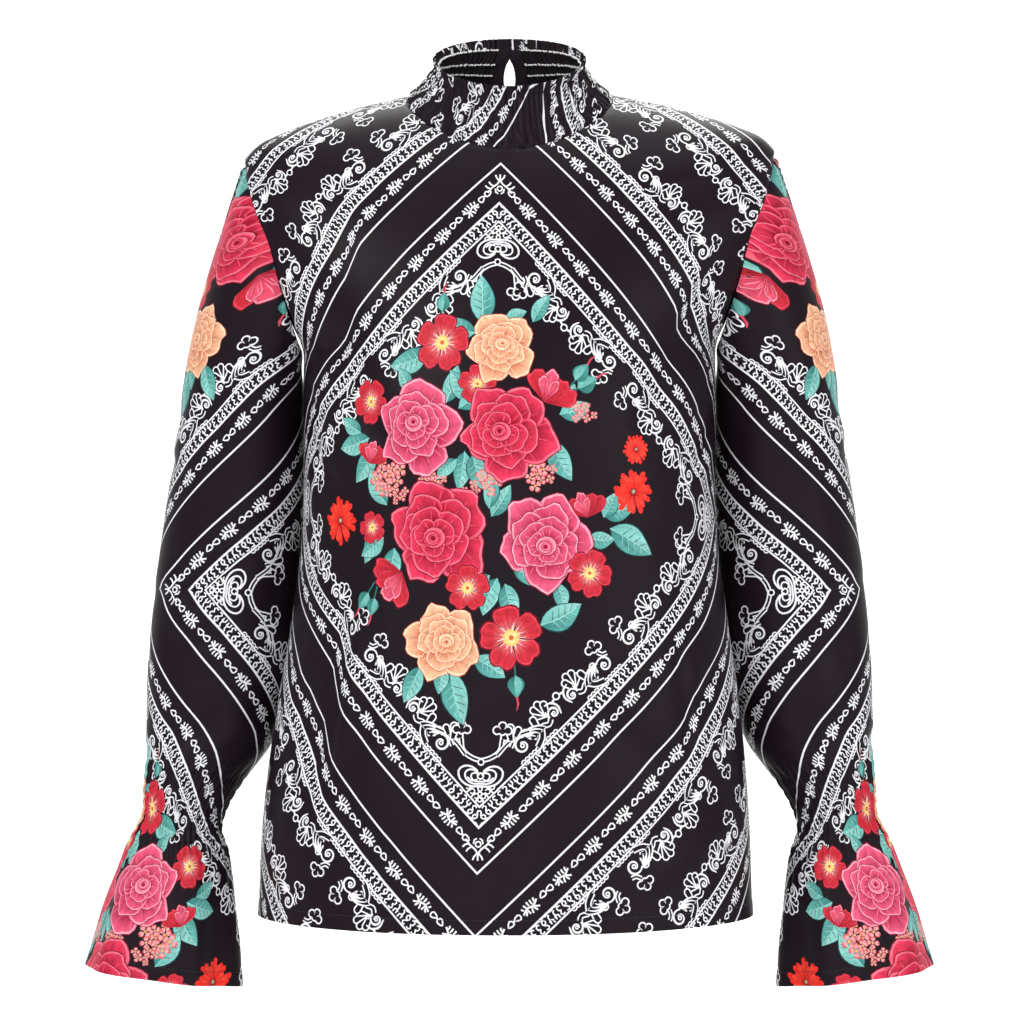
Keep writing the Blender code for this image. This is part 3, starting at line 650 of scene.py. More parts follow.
def collar():
    """The gathered stand, from the keyhole at the back round the front and back to it."""
    knots = body_knots(COLLAR)
    shares_up = spread(knots[-1], knots[-1] / COLLAR_ROWS, (0.0, 1.0, 2.0))
    rows = smooth(knots, list(COLLAR.values()), shares_up * knots[-1])
    rings = []
    for share, values in zip(shares_up, rows):
        opening = keyhole_half(share)
        half = np.concatenate((section_line(values, 1), section_line(values, -1)[-2::-1]))
        half = half[half[:, 0] >= opening]
        half = np.concatenate(([(opening, half[0, 1], half[0, 2])], half))
        whole = np.concatenate((half, half[::-1] * (-1.0, 1.0, 1.0)))
        rings.append(divided(whole, np.linspace(0.0, 1.0, COLLAR_COLUMNS)))
    points = lean(np.array(rings))
    length = np.linalg.norm(np.diff(points[0], axis=0), axis=1).sum() / MM
    around = np.linspace(0.5, -0.5, COLLAR_COLUMNS)
    u = np.broadcast_to(around * length * COLLAR_FULLNESS, points.shape[:2]).copy()
    climb = np.linalg.norm(np.diff(points, axis=0), axis=2) / MM
    v = np.concatenate((np.zeros((1, COLLAR_COLUMNS)), np.cumsum(climb, axis=0)))
    v = np.broadcast_to(v.mean(axis=1, keepdims=True), u.shape).copy()
    cloth = Cloth("collar", points, u, v)
    phase = 2 * math.pi * COLLAR_GATHERS * np.abs(around)[None, :]
    beside = (0.5 - np.abs(around)) * length
    gathered = ease((beside - 0.7 * PLAIN_BESIDE_KEYHOLE) / (0.5 * PLAIN_BESIDE_KEYHOLE))[None, :]
    up = shares_up[:, None]
    fine = gather_wave(phase, 0.4) - 0.45
    base_wave = gather_wave(phase * 0.62 + 1.3, 1.4) - 0.45
    lower = ease((0.42 - up) / 0.3)
    rise = (fine * (1 - lower) * 2.2 + base_wave * lower * 3.0) * gathered * ease(up / 0.06)
    rise = rise * (1.0 + 0.25 * ease((up - 0.8) / 0.2))
    for share in ELASTIC_UP:
        rise = rise - 0.7 * gathered * np.exp(-((up - share) / 0.028) ** 2)
    cloth.sink(-rise * MM * np.ones_like(u))
    return cloth


def tuck(cloth, sides, depth=1.0, width=2.0):
    """Draws the named edges of a piece in, so that a seam shows as a narrow groove."""
    from_edge = {
        "bottom": np.abs(cloth.v - cloth.v[:1]),
        "top": np.hypot(cloth.u - cloth.u[-1:], cloth.v - cloth.v[-1:]),
        "left": np.hypot(cloth.u - cloth.u[:, :1], cloth.v - cloth.v[:, :1]),
        "right": np.hypot(cloth.u - cloth.u[:, -1:], cloth.v - cloth.v[:, -1:]),
    }
    total = np.zeros(cloth.u.shape)
    for side in sides:
        total = np.maximum(total, np.exp(-(from_edge[side] / width) ** 2))
    cloth.sink(total * depth * MM)


HEM_DEEP = 11.0  # mm from the hem's edge up to its stitches


def hem(cloth, thick=0.45):
    """Makes the turned hem stand out a little below its row of stitches."""
    up = cloth.v - cloth.v[:1]
    band = ease((HEM_DEEP + 1.0 - up) / 2.0)
    stitch = np.exp(-((up - HEM_DEEP) / 1.2) ** 2)
    cloth.sink(-(band * thick - stitch * 0.3) * MM)


# ---------------------------------------------------------------- ink on the flat cloth

GROUND, WHITE = 0, 1  # the material slots of a printed piece's outer face
INSIDE = 2


def srgb(red, green, blue):
    """A colour given as it is seen, from 0 to 255, turned into the light that it sends back."""
    values = np.array((red, green, blue), float) / 255.0
    return tuple(np.where(values <= 0.04045, values / 12.92, ((values + 0.055) / 1.055) ** 2.4))


BLACK = srgb(27, 17, 25)
INK_WHITE = srgb(240, 240, 244)


class Ink:
    """What fills a printed shape: a slot, and for the ground's slot a colour that runs from inner to outer
    between a share of a reach from a centre and all of it, with brush marks that follow it."""

    def __init__(self, inner=BLACK, outer=None, centre=(0.0, 0.0), reach=1.0, marks=0.0, start=0.0,
                 slot=GROUND):
        self.slot = slot
        self.inner = inner
        self.outer = inner if outer is None else outer
        self.centre = centre
        self.reach = reach
        self.marks = marks
        self.start = start

    def moved(self, place, scale=1.0):
        if self.slot == WHITE or self is COVER:
            return self
        centre = place(np.array([self.centre], float))[0]
        return Ink(self.inner, self.outer, centre, self.reach * scale, self.marks, self.start)


LINE = Ink(INK_WHITE, slot=WHITE)
COVER = Ink()


def line(points, width, closed=False):
    """A drawn line as flat pieces, with its corners mitred."""
    p = np.asarray(points, float)
    ways = unit(np.roll(p, -1, axis=0) - np.roll(p, 1, axis=0) if closed else np.gradient(p, axis=0))
    widths = np.broadcast_to(np.asarray(width, float), len(p))[:, None] / 2
    beside = np.stack((-ways[:, 1], ways[:, 0]), axis=1) * widths
    left = p + beside
    right = p - beside
    shapes = []
    for a in range(len(p) if closed else len(p) - 1):
        b = (a + 1) % len(p)
        near = turn_of(left[a], right[a], right[b])
        far = turn_of(left[a], right[b], left[b])
        if near * far > 0:
            shapes.append(np.array((left[a], right[a], right[b], left[b])))
        else:
            shapes.append(np.array((left[a], right[a], right[b])))
            shapes.append(np.array((left[a], right[b], left[b])))
    return shapes


def turn_of(a, b, c):
    return (b[0] - a[0]) * (c[1] - a[1]) - (b[1] - a[1]) * (c[0] - a[0])


def arc(centre, radius, start, end, count, squash=1.0):
    """Points along an arc, its angles in degrees."""
    turn = np.radians(np.linspace(start, end, count))
    return np.stack((centre[0] + radius * np.cos(turn), centre[1] + radius * squash * np.sin(turn)), axis=1)


def curve(*points, count=12):
    """A smooth curve through a few points."""
    knots = distances(np.array(points, float))
    return smooth(knots, points, np.linspace(0.0, knots[-1], count))


def turned(points, angle, base=(0.0, 0.0)):
    """Points turned by an angle in degrees and moved to a base."""
    a = math.radians(angle)
    p = np.asarray(points, float)
    return np.stack((
        base[0] + p[:, 0] * math.cos(a) - p[:, 1] * math.sin(a),
        base[1] + p[:, 0] * math.sin(a) + p[:, 1] * math.cos(a),
    ), axis=1)


STROKE = 1.35  # mm, the width of most of the print's white lines


class Drawing:
    """Shapes of ink, each over the ones before it."""

    def __init__(self):
        self.shapes = []
        self.inks = []

    def add(self, shapes, ink):
        for shape in shapes:
            self.shapes.append(np.asarray(shape, float))
            self.inks.append(ink)

    def lines(self, points, width=STROKE, closed=False):
        self.add(line(points, width, closed), LINE)

    def outlined(self, shape, stroke=STROKE):
        """A black shape with a white edge, which lies outside it."""
        p = np.asarray(shape, float)
        ahead = unit(np.roll(p, -1, axis=0) - np.roll(p, 1, axis=0))
        away = np.stack((ahead[:, 1], -ahead[:, 0]), axis=1)
        self.add([p + away * stroke * np.sign(doubled_area(p))], LINE)
        self.add([p], COVER)

    def stem(self, points, width=2.2, stroke=1.1):
        """A black stem between two white lines."""
        self.add(line(points, np.asarray(width) + 2 * stroke), LINE)
        self.add(line(points, width), COVER)

    def finger(self, base, angle, length, width):
        """An outlined leaf with a round end."""
        half = width / 2
        tip = arc((length - half, 0.0), half, -80, 80, 6)
        shape = np.concatenate(([(0.0, -0.30 * width)], tip, [(0.0, 0.30 * width)]))
        self.outlined(turned(shape, angle, base), 1.15)

    def lobes(self, middle, angle, size):
        """An outlined leaf with three round lobes."""
        turn = np.linspace(-180.0, 180.0, 40, endpoint=False)
        r = np.full(len(turn), 0.30)
        for spot in (-78.0, 0.0, 78.0):
            across = 0.63 * np.sin(np.radians(turn - spot))
            along = 0.63 * np.cos(np.radians(turn - spot))
            inside = np.abs(across) < 0.37
            rise = np.sqrt(np.where(inside, 0.137 - across ** 2, 0.0))
            r = np.maximum(r, np.where(inside, along + rise, 0.0))
        rad = np.radians(turn)
        shape = size * r[:, None] * np.stack((np.cos(rad), np.sin(rad)), axis=1)
        self.outlined(turned(shape, angle, middle), 1.2)

    def ribs(self, centre, first, last, start, end, count, shift):
        """Nested crescents that open out from a scroll."""
        for k in range(count - 1, -1, -1):
            share = k / (count - 1)
            r = first + (last - first) * share
            middle = (centre[0] + shift[0] * share, centre[1] + shift[1] * share)
            path = arc(middle, r, start - 8 * share, end + 10 * share, 10)
            inner = arc(middle, r * 0.78, start - 8 * share, end + 10 * share, 10)
            if k == count - 1:
                self.add([np.concatenate((path, [centre]))], COVER)
            self.lines(path, np.interp(np.linspace(0, 1, 10), (0, 0.4, 1), (0.6, 1.7, 0.7)))
            if k % 2:
                self.lines(inner[2:8], (0.4, 0.8, 0.9, 0.9, 0.8, 0.4))

    def scroll(self, centre, radius, start, way):
        """A scroll that winds in to a knob."""
        share = np.linspace(0.0, 1.0, 20)
        turn = math.radians(start) + way * share * 1.15 * 2 * math.pi
        r = radius * (1.0 - 0.66 * share ** 0.9)
        path = np.stack((centre[0] + r * np.cos(turn), centre[1] + r * np.sin(turn)), axis=1)
        self.add([arc(centre, radius * 1.05, 0, 345, 20)], COVER)
        self.lines(path, np.interp(share, (0, 0.3, 1), (1.2, 1.8, 1.0)))
        self.add([arc(centre, radius * 0.30, 0, 320, 9)], LINE)
        self.add([arc(centre, radius * 0.12, 0, 300, 6)], COVER)

    def mapped(self, other, place, scale=1.0):
        """Adds another drawing, through a function that moves its places and grows them by a scale."""
        moved = {id(ink): ink.moved(place, scale) for ink in other.inks}
        for shape, ink in zip(other.shapes, other.inks):
            self.shapes.append(place(shape))
            self.inks.append(moved[id(ink)])


HALF_SIDE = 192.5  # mm from the middle of a printed square to its outer line
REPEAT = 418.0  # mm from one printed square's middle to the next along its side
SPRIG_E = 12.0  # mm in from the outer line to the row of sprigs and beads
LADDER_E = (24.0, 35.0)  # mm in to the two lines of the ladder band
TEETH_E = 29.5
SPRIG_PERIOD = (HALF_SIDE - SPRIG_E) / 5.5
TOOTH_PERIOD = (HALF_SIDE - TEETH_E) / 31
KNOT_PERIOD = 117.0  # mm from one knot of the scrollwork to the next
FRAMES = ((REPEAT - HALF_SIDE, -1), (372.0, 1), (405.0, -1))  # half sides of the front's outer frames


def straight(half, facing, e, width, step=8.0, bumps=0.0):
    """A line along half a side, at a distance from the outer line, mitred at the corner. With bumps, one
    edge is scalloped. Facing 1 has the distances inwards, and facing -1 outwards."""
    low = e - width / 2
    count = int((half - facing * e) / step)
    shapes = []
    for k in range(count):
        a = k / count
        b = (k + 1) / count
        high_a = e + width / 2 + bumps * (k % 2)
        high_b = e + width / 2 + bumps * ((k + 1) % 2)
        shapes.append(np.array((
            (a * (half - facing * low), low), (b * (half - facing * low), low),
            (b * (half - facing * high_b), high_b), (a * (half - facing * high_a), high_a))))
    return shapes


SPRIG = (
    ((-7.6, -1.2), (-4.6, 0.2), (-2.4, 1.2), (0.0, 0.2), (2.6, -0.6), (5.0, 0.4), (7.8, 1.4)),
    ((-2.8, 1.2), (-4.2, 3.0), (-6.2, 4.4)),
    ((-2.2, 1.8), (-2.4, 3.6), (-3.0, 5.6)),
    ((-1.0, 1.2), (0.2, 3.0), (1.0, 5.2)),
    ((2.8, 0.4), (3.0, 2.4), (2.8, 4.2)),
    ((4.0, 0.8), (5.2, 2.4), (6.6, 3.4)),
    ((-5.0, -0.8), (-5.4, -2.4), (-6.2, -3.8)),
    ((-2.6, -0.2), (-2.6, -2.2), (-3.0, -4.2)),
    ((0.0, -1.0), (0.2, -2.8), (-0.2, -4.6)),
    ((2.6, -1.4), (3.2, -2.8), (3.2, -4.2)),
    ((5.2, -0.8), (6.0, -1.8), (6.4, -3.0)),
)
BEAD = ((-2.9, 0.0), (-1.2, 1.4), (1.2, 2.3), (2.5, 1.5), (2.9, -0.4), (2.0, -1.9), (0.2, -1.8), (-1.6, -1.0))
TEETH_SHAPES = (
    ((-1.7, 8.9), (0.4, 9.3), (1.5, 7.9), (0.3, 6.2), (-0.5, 5.7), (1.2, 4.9), (1.6, 3.0), (0.2, 1.7),
     (-1.7, 2.5)),
    ((1.6, 9.0), (-0.4, 9.4), (-1.5, 8.0), (-0.6, 6.6), (0.6, 5.6), (1.5, 4.2), (0.9, 2.2), (-0.6, 1.7),
     (-1.7, 3.0), (-1.2, 4.7), (0.2, 5.0)),
    ((-1.6, 9.3), (-1.7, 6.6), (-0.2, 5.6), (1.4, 6.4), (1.2, 8.6), (0.4, 5.2), (0.2, 3.0), (-1.4, 1.7)),
)


def border_row(d, reach):
    """The twigs and beads between the outer line and the ladder band."""
    for k in range(int((reach - 3.0) / SPRIG_PERIOD + 0.5)):
        for path in SPRIG:
            p = np.array(path) + ((k + 0.5) * SPRIG_PERIOD, SPRIG_E)
            d.lines(p, 1.45 if len(path) > 3 else (1.0, 1.4, 1.3))
    for k in range(int(reach / SPRIG_PERIOD) + 1):
        at = (k + 0.5) * SPRIG_PERIOD
        for away, tilt in ((13.0, 12.0), (20.0, -14.0)):
            if at - away > 2.0:
                d.lines(turned(BEAD, 180.0 + tilt, (at - away, SPRIG_E)), 1.2, closed=True)
        if at - 16.5 > 2.0:
            d.lines([(at - 15.4, SPRIG_E + 0.6), (at - 17.4, SPRIG_E - 0.4)], 1.2)


def spray():
    """Scrollwork on one side of a knot: along from the knot, and up from the ladder's inner line."""
    d = Drawing()
    for k in range(10):
        d.lines(arc((18.5 + 3.7 * k, 0.6), 2.0, 10, 170, 5), 1.0)
        d.lines([(18.5 + 3.7 * k, 1.0), (18.5 + 3.7 * k, -1.8 if k % 2 else -2.6)], 0.9)
    # a cluster of leaves round a small curl
    for angle, length in ((30, 10.5), (58, 12.5), (86, 12.0), (114, 9.5)):
        d.finger((14.5, 15.5), angle, length, 4.3)
    stem = curve((13, 17), (14, 11.5), (18, 8.6), (23, 11), (29, 5), (36, 2), count=16)
    d.stem(stem, (2.2,) * 8 + (3.0,) * 8)
    d.scroll((9.8, 12.4), 5.0, -10, 1)
    curl = curve((12, 21), (6.8, 19.5), (4.0, 14), (6.0, 8.0), count=8)
    d.lines(curl, (1.0, 1.3, 1.5, 1.6, 1.6, 1.5, 1.3, 0.8))
    # two leaves, a scroll within its shell, and a leaf of three lobes on a stem
    d.finger((31.5, 8), 62, 11.5, 4.2)
    d.finger((27.5, 9), 102, 12.5, 4.2)
    d.ribs((40.0, 8.0), 4.6, 15.0, 160, 30, 5, (-5.5, -6.0))
    d.scroll((44.0, 11.0), 6.6, 140, -1)
    d.stem(curve((51.5, 16.0), (48.0, 17.5), (46.0, 21.5), count=5), 1.4, 1.1)
    d.lobes((45.5, 25.0), 75, 6.4)
    return d


def scrollwork(d, half):
    """Sprays both ways from the knots along half a side."""
    at = KNOT_PERIOD / 2
    low = LADDER_E[1]
    while at < half - 20.0:
        for way in (-1, 1):
            d.mapped(SPRAY, lambda p: p * (way, 1) + (at, low))
        d.lines([(at - 7, low + 18.5), (at, low + 20.2), (at + 7, low + 18.5)], 1.6)
        d.outlined(arc((at, low + 20.2), 2.0, 0, 320, 9), 1.2)
        at += KNOT_PERIOD


def half_side(half, facing):
    """Half of one side of a printed frame: t along it from its middle, e from its outer line."""
    d = Drawing()
    d.add(straight(half, facing, 0.0, 1.5), LINE)
    d.add(straight(half, facing, LADDER_E[0], 1.5, 2.6, 0.8), LINE)
    d.add(straight(half, facing, LADDER_E[1], 1.4), LINE)
    border_row(d, half - facing * SPRIG_E)
    for k in range(int((half - facing * TEETH_E) / TOOTH_PERIOD + 0.01)):
        shape = np.array(TEETH_SHAPES[(k * 2 + k // 3) % 3])
        d.lines(shape + ((k + 0.5) * TOOTH_PERIOD, LADDER_E[0] + 0.1), 1.15)
    scrollwork(d, half - facing * LADDER_E[1])
    return d


TWIGS = (  # on one side of a square's corner, each with its width
    (((9.5, 8.6), (6.5, 4.4), (2.2, 1.0), (0, -2.4)), 1.4),
    (((4.4, 3.0), (7.4, 1.4), (9.0, -0.8)), (1.0, 1.4, 1.2)),
    (((6.4, 5.4), (9.8, 4.4), (11.8, 2.6)), (1.0, 1.4, 1.2)),
    (((0.8, -2.0), (3.0, -4.8), (3.8, -7.0)), (1.0, 1.4, 1.2)),
    (((3.6, 5.0), (3.0, 8.0), (1.0, 9.2)), (1.0, 1.3, 1.0)),
)
HEART_LOBE = (
    (0, 15.6), (6, 15.2), (12.5, 17.6), (16.5, 22.4), (16.6, 27.4), (12.2, 30.4), (6.6, 29.8), (2.2, 26.6),
)
ARMS = (  # of the bracket in a corner: its points, how many, its width and its stroke
    (((0, 34.4), (7.0, 36.6), (14.0, 42.0), (15.8, 51.0)), 12, 1.6, 1.15),
    (((12.0, 38.6), (20.0, 48.0), (29.0, 55.0), (36.0, 57.5)), 10, 1.4, 1.1),
)


def corner_piece():
    """What stands in a corner of a printed square: a across it, b in from its outer corner."""
    d = Drawing()
    root = math.sqrt(2.0)
    row = SPRIG_E * root
    for flip in (-1, 1):
        for path, width in TWIGS:
            d.lines(np.array(path) * (flip, 1) + (0, row), width)
    d.lines(arc((0, row + 4.8), 2.1, 0, 324, 8), 1.2, closed=True)
    d.lines([(0, row - 2.4), (0, row - 7.4)], 1.3)
    top = LADDER_E[1] * root
    # a fan of lace in the angle
    d.add([((-13.0, top + 13.5), (0.0, top + 1.0), (13.0, top + 13.5), (0.0, top + 17.0))], COVER)
    for flip in (-1, 1):
        for reach in (0.22, 0.5, 0.78):
            x = flip * 13.0 * reach
            y = top + 1.0 + 12.5 * reach
            d.lines([(x, y), (x * 0.55, y + 3.6)], 1.2)
            d.lines(arc((x * 0.9, y + 4.4), 1.9, 20, 320, 7), 1.0)
    for b in (5.4, 9.6, 13.4):
        d.lines(arc((0, top + b), 1.7, 0, 300, 7), 1.15, closed=True)
    for flip in (-1, 1):
        d.lines(arc((flip * 4.4, top + 13.6), 3.0, 90 - flip * 80, 90 + flip * 70, 7), 1.1)
    # a nested heart above it
    for flip in (-1, 1):
        for size, wide in ((1.0, 1.5), (0.70, 1.35), (0.42, 1.2)):
            lobe = (np.array(HEART_LOBE) - (0, 21.5)) * (flip * size, size) + (0, top + 21.5)
            path = curve(*lobe, count=15)
            if size == 1.0:
                d.add([np.concatenate((path, [(0.0, top + 24.0)]))], COVER)
            d.lines(path, wide)
    d.lines(arc((0, top + 23.0), 2.3, 0, 324, 8), 1.25, closed=True)
    for flip in (-1, 1):
        tendril = ((flip * 2.2, top + 20.4), (flip * 6.5, top + 19.4), (flip * 10.0, top + 22.0))
        d.lines(curve(*tendril, count=6), 1.2)
    # a bracket with a leaf at each end
    for flip in (-1, 1):
        for path, count, width, stroke in ARMS:
            d.stem(curve(*(np.array(path) * (flip, 1) + (0, top)), count=count), width, stroke)
        d.finger((flip * 22.5, top + 50.0), 90 + flip * 14, 8.5, 4.2)
        d.finger((flip * 25.5, top + 53.0), 90 - flip * 22, 7.5, 3.8)
        d.lobes((flip * 15.6, top + 56.5), 90, 6.6)
    d.outlined(arc((0, top + 33.4), 1.7, 0, 320, 8), 1.2)
    return d


# ---------------------------------------------------------------- the printed flowers

ROSE_RED = (srgb(132, 10, 34), srgb(246, 120, 142), srgb(180, 16, 50), srgb(230, 58, 90))
ROSE_PINK = (srgb(146, 14, 48), srgb(250, 168, 188), srgb(192, 28, 72), srgb(236, 94, 130))
ROSE_PEACH = (srgb(196, 86, 62), srgb(255, 220, 188), srgb(222, 132, 98), srgb(248, 192, 152))
PETAL_RED = (srgb(126, 14, 30), srgb(222, 66, 84), srgb(188, 34, 50), srgb(204, 44, 60))
DAISY_RED = (srgb(160, 12, 16), srgb(252, 78, 60), srgb(226, 30, 30), srgb(246, 52, 44))
LEAF = (srgb(22, 66, 68), srgb(150, 208, 200), srgb(56, 130, 126), srgb(108, 184, 176))
CREAM = srgb(250, 234, 176)
STAMEN = srgb(232, 196, 96)
HEART = srgb(222, 110, 54)
BLUSH = srgb(255, 214, 206)
BUD = (srgb(20, 66, 66), srgb(126, 192, 184), srgb(42, 112, 108), srgb(86, 162, 154))


def radial(radii, angles):
    """Points at distances from the middle, in directions given in degrees."""
    a = np.radians(angles)
    return np.stack((np.asarray(radii) * np.cos(a), np.asarray(radii) * np.sin(a)), axis=1)


def petal(d, colours, angle, wide, near, far, point, seed, start=0.0):
    """One petal round a centre: a shadow, a light rim and a body that deepens towards the centre."""
    shadow, rim, deep, body = colours
    dark = tuple((np.array(shadow) + np.array(deep)) / 2)
    share = np.linspace(-1.0, 1.0, 13)
    wave = 0.030 * np.sin(seed * 2.3 + 5.0 * share) + 0.022 * np.sin(seed * 4.1 + 9.0 * share)
    tip = point * np.exp(-((share - 0.25 * math.sin(seed)) / 0.16) ** 2)
    edge = far * (1.0 - 0.22 * share ** 4 - 0.10 * share ** 2 + tip)
    edge = edge + far * wave
    angles = angle + wide * share
    inner = radial([near, near], [angle + wide * 0.55, angle - wide * 0.55])
    for grow, narrow, ink in (
        (1.035, 1.0, Ink(shadow)),
        (1.0, 1.0, Ink(body, rim, (0.0, 0.0), far, seed, start)),
        (0.94, 0.90, Ink(dark, body, (0.0, 0.0), far * 0.96, seed, start)),
    ):
        ring = radial(near + (edge - near) * grow, angle + (angles - angle) * narrow)
        d.add([np.concatenate((ring, inner))], ink)
    for k in (-0.5, 0.1, 0.55):
        a = angle + wide * (k + 0.12 * math.sin(seed + k))
        crease = radial([near + (far - near) * 0.35, far * 0.66, far * 0.84], [a, a + 2.5 * k, a + 5 * k])
        d.add(line(crease, (0.010, 0.020, 0.008)), Ink(body, rim, (0.0, 0.0), far, seed, start))


ROSE_RINGS = (  # within the outer petals: count, width, near, far, point, start of the rim, off-centre
    (5, 47, 0.22, 0.72, 0.08, 0.60, 0.05),
    (4, 56, 0.14, 0.54, 0.06, 0.55, 0.09),
    (3, 66, 0.08, 0.38, 0.05, 0.45, 0.12),
)


def rose(colours, seed):
    """A full rose of unit radius: rings of petals, each ring off its middle, round a wound heart."""
    shadow, rim, deep, body = colours
    d = Drawing()
    turn = 40.0 * seed
    way = np.array((math.cos(seed), math.sin(seed)))
    for k in range(5):
        wide = 44 + 4 * math.sin(seed + k)
        far = 0.93 + 0.07 * math.sin(1.7 * k + seed)
        petal(d, colours, turn + 72 * k, wide, 0.30, far, 0.11, seed + k, 0.62)
    for count, wide, near, reach, point, start, off in ROSE_RINGS:
        ring = Drawing()
        for k in range(count):
            a = turn + 31 * count + 360.0 / count * k + 9 * math.sin(2.1 * k + seed)
            far = reach * (1 + 0.07 * math.sin(2.3 * k + seed))
            petal(ring, colours, a, wide, near, far, point, seed + 5 * count + k, start)
        d.mapped(ring, lambda p: p * (1.0, 0.95) + way * off)
    middle = way * 0.13
    size = 0.21
    spin = math.radians(turn + 30)
    while size > 0.075:
        d.add([arc(middle, size * 1.07, 0, 340, 14, 0.9)], Ink(shadow))
        d.add([arc(middle, size, 0, 340, 14, 0.88)], Ink(body, rim, middle, size, seed + size, 0.4))
        middle = middle + np.array((math.cos(spin), math.sin(spin))) * size * 0.18
        d.add([arc(middle, size * 0.80, 0, 340, 12, 0.86)], Ink(deep, body, middle, size, seed + size, 0.2))
        spin += math.radians(150)
        size *= 0.62
    d.add([arc(middle, 0.04, 0, 300, 6)], Ink(shadow))
    return d


def five_petal(seed):
    """An open flower of unit radius, with a pale eye."""
    shadow, rim, deep, body = PETAL_RED
    d = Drawing()
    for k in range(5):
        a = 72 * k + 30 * seed
        share = np.linspace(-1.0, 1.0, 11)
        edge = 1.0 - 0.30 * share ** 4 - 0.05 * np.exp(-(share / 0.18) ** 2)
        edge = edge + 0.02 * np.sin(9 * share + seed + k)
        for grow, ink in (
            (1.05, Ink(shadow)),
            (1.0, Ink(BLUSH, rim, (0, 0), 0.55, seed + k)),
            (0.95, Ink(srgb(240, 150, 150), body, (0, 0), 0.62, seed + k)),
        ):
            ring = radial(edge * grow, a + 35.0 * grow * share)
            d.add([np.concatenate((ring, radial([0.1, 0.1], [a + 20, a - 20])))], ink)
        for m in (-18, 0, 16):
            crease = radial([0.3, 0.6, 0.88], [a + m * 0.6, a + m, a + m * 1.2])
            d.add(line(crease, (0.02, 0.02, 0.01)), Ink(deep))
    for k in range(20):
        a = 18 * k + 7 * math.sin(k * 2.1)
        reach = 0.40 + 0.07 * math.sin(k * 1.7 + seed)
        d.add(line(radial([0.14, reach], [a, a + 3]), (0.035, 0.02)), Ink(BLUSH))
    d.add([arc((0, 0), 0.25, 0, 340, 14)], Ink(CREAM, STAMEN, (0, 0), 0.3, seed))
    for k in range(9):
        a = 40 * k + 11
        d.add([arc(radial([0.24], [a])[0], 0.045, 0, 300, 6)], Ink(STAMEN))
    d.add([arc((0, 0), 0.085, 0, 320, 9)], Ink(HEART))
    return d


def daisy(seed):
    """A many-petalled flower of unit radius."""
    shadow, rim, deep, body = DAISY_RED
    d = Drawing()
    for layer, (count, reach) in enumerate(((17, 1.0), (15, 0.80))):
        for k in range(count):
            a = 360.0 * k / count + 9 * layer + 4 * math.sin(3.1 * k + seed)
            far = reach * (0.94 + 0.08 * math.sin(2.3 * k + seed + layer))
            half = 190.0 / count
            shape = radial([0.12, far * 0.6, far * 0.93, far, far * 0.91, far * 0.6],
                           [a, a - half, a - half * 0.62, a - half * 0.1, a + half * 0.66, a + half])
            d.add([shape], Ink(shadow, body, (0, 0), 0.5, seed + k))
            d.add([shape * 0.965], Ink(deep, rim if layer else body, (0, 0), 0.85, seed + k))
    d.add([arc((0, 0), 0.16, 0, 330, 10)], Ink(shadow))
    d.add([arc((0.01, 0.02), 0.10, 0, 330, 9)], Ink(srgb(150, 160, 130)))
    d.add([arc((0.03, 0.03), 0.035, 0, 300, 6)], Ink(BLUSH))
    return d


def cup(seed):
    """A flower of unit radius seen from its side, opening upwards."""
    shadow, rim, deep, body = PETAL_RED
    pink = (shadow, srgb(250, 150, 170), srgb(206, 48, 78), srgb(232, 84, 112))
    d = Drawing()
    base = (0.0, -0.55)
    for colours, angle, wide, far in (
        (PETAL_RED, 138, 24, 1.42), (PETAL_RED, 44, 26, 1.40), (pink, 104, 20, 1.40),
        (PETAL_RED, 72, 21, 1.30), (pink, 124, 15, 1.12), (pink, 88, 15, 1.05),
    ):
        part = Drawing()
        petal(part, colours, angle, wide, 0.02, far, 0.02, seed + angle)
        d.mapped(part, lambda p: p + base)
    return d


def leaf(d, base, angle, length, width, seed):
    """A pointed leaf with a light half, a dark half and its veins."""
    shadow, rim, deep, body = LEAF
    share = np.linspace(0.0, 1.0, 9)
    half = width / 2 * np.sin(math.pi * share ** 0.85) ** 0.9
    bow = 0.06 * length * np.sin(math.pi * share) * math.sin(seed)
    x = share * length
    upper = np.stack((x, bow + half), axis=1)
    lower = np.stack((x, bow - half), axis=1)
    rib = np.stack((x, bow), axis=1)
    whole = np.concatenate((lower, upper[-2:0:-1]))
    swollen = (whole - (length / 2, 0)) * (1.03, 1.10) + (length / 2, 0)
    d.add([turned(swollen, angle, base)], Ink(shadow))
    d.add([turned(np.concatenate((rib, upper[-2:0:-1])), angle, base)], Ink(body, rim, base, length, seed))
    d.add([turned(np.concatenate((lower, rib[-2:0:-1])), angle, base)], Ink(deep, body, base, length, seed))
    for k in range(1, 6):
        at = 0.14 + 0.14 * k
        hx = at * length
        hy = np.interp(at, share, bow)
        out = np.interp(min(at + 0.12, 1.0), share, half) * 0.8
        for side in (-1, 1):
            vein = turned([(hx, hy), (hx + 0.10 * length, hy + side * out)], angle, base)
            d.add(line(vein, (width * 0.035, width * 0.015)), Ink(shadow if side > 0 else rim))
    d.add(line(turned(rib[:-1], angle, base), width * 0.045), Ink(rim))


FLORET = (CREAM, srgb(216, 56, 92), srgb(206, 84, 104), srgb(252, 186, 186))


def floret(d, middle, size, seed):
    """A small flower with four petals."""
    inner, edge, deep, light = FLORET
    for k in range(4):
        a = 90 * k + 50 * seed
        shape = radial([0.1, 0.75, 1.0, 0.96, 0.75], [a, a - 34, a - 12, a + 14, a + 34]) * size + middle
        d.add([shape], Ink(inner, edge, middle, size * 0.95, seed + k))
        d.add([(shape - middle) * 0.74 + middle], Ink(deep, light, middle, size * 0.8, seed + k))
    d.add([arc(middle, size * 0.16, 0, 300, 6)], Ink(STAMEN))


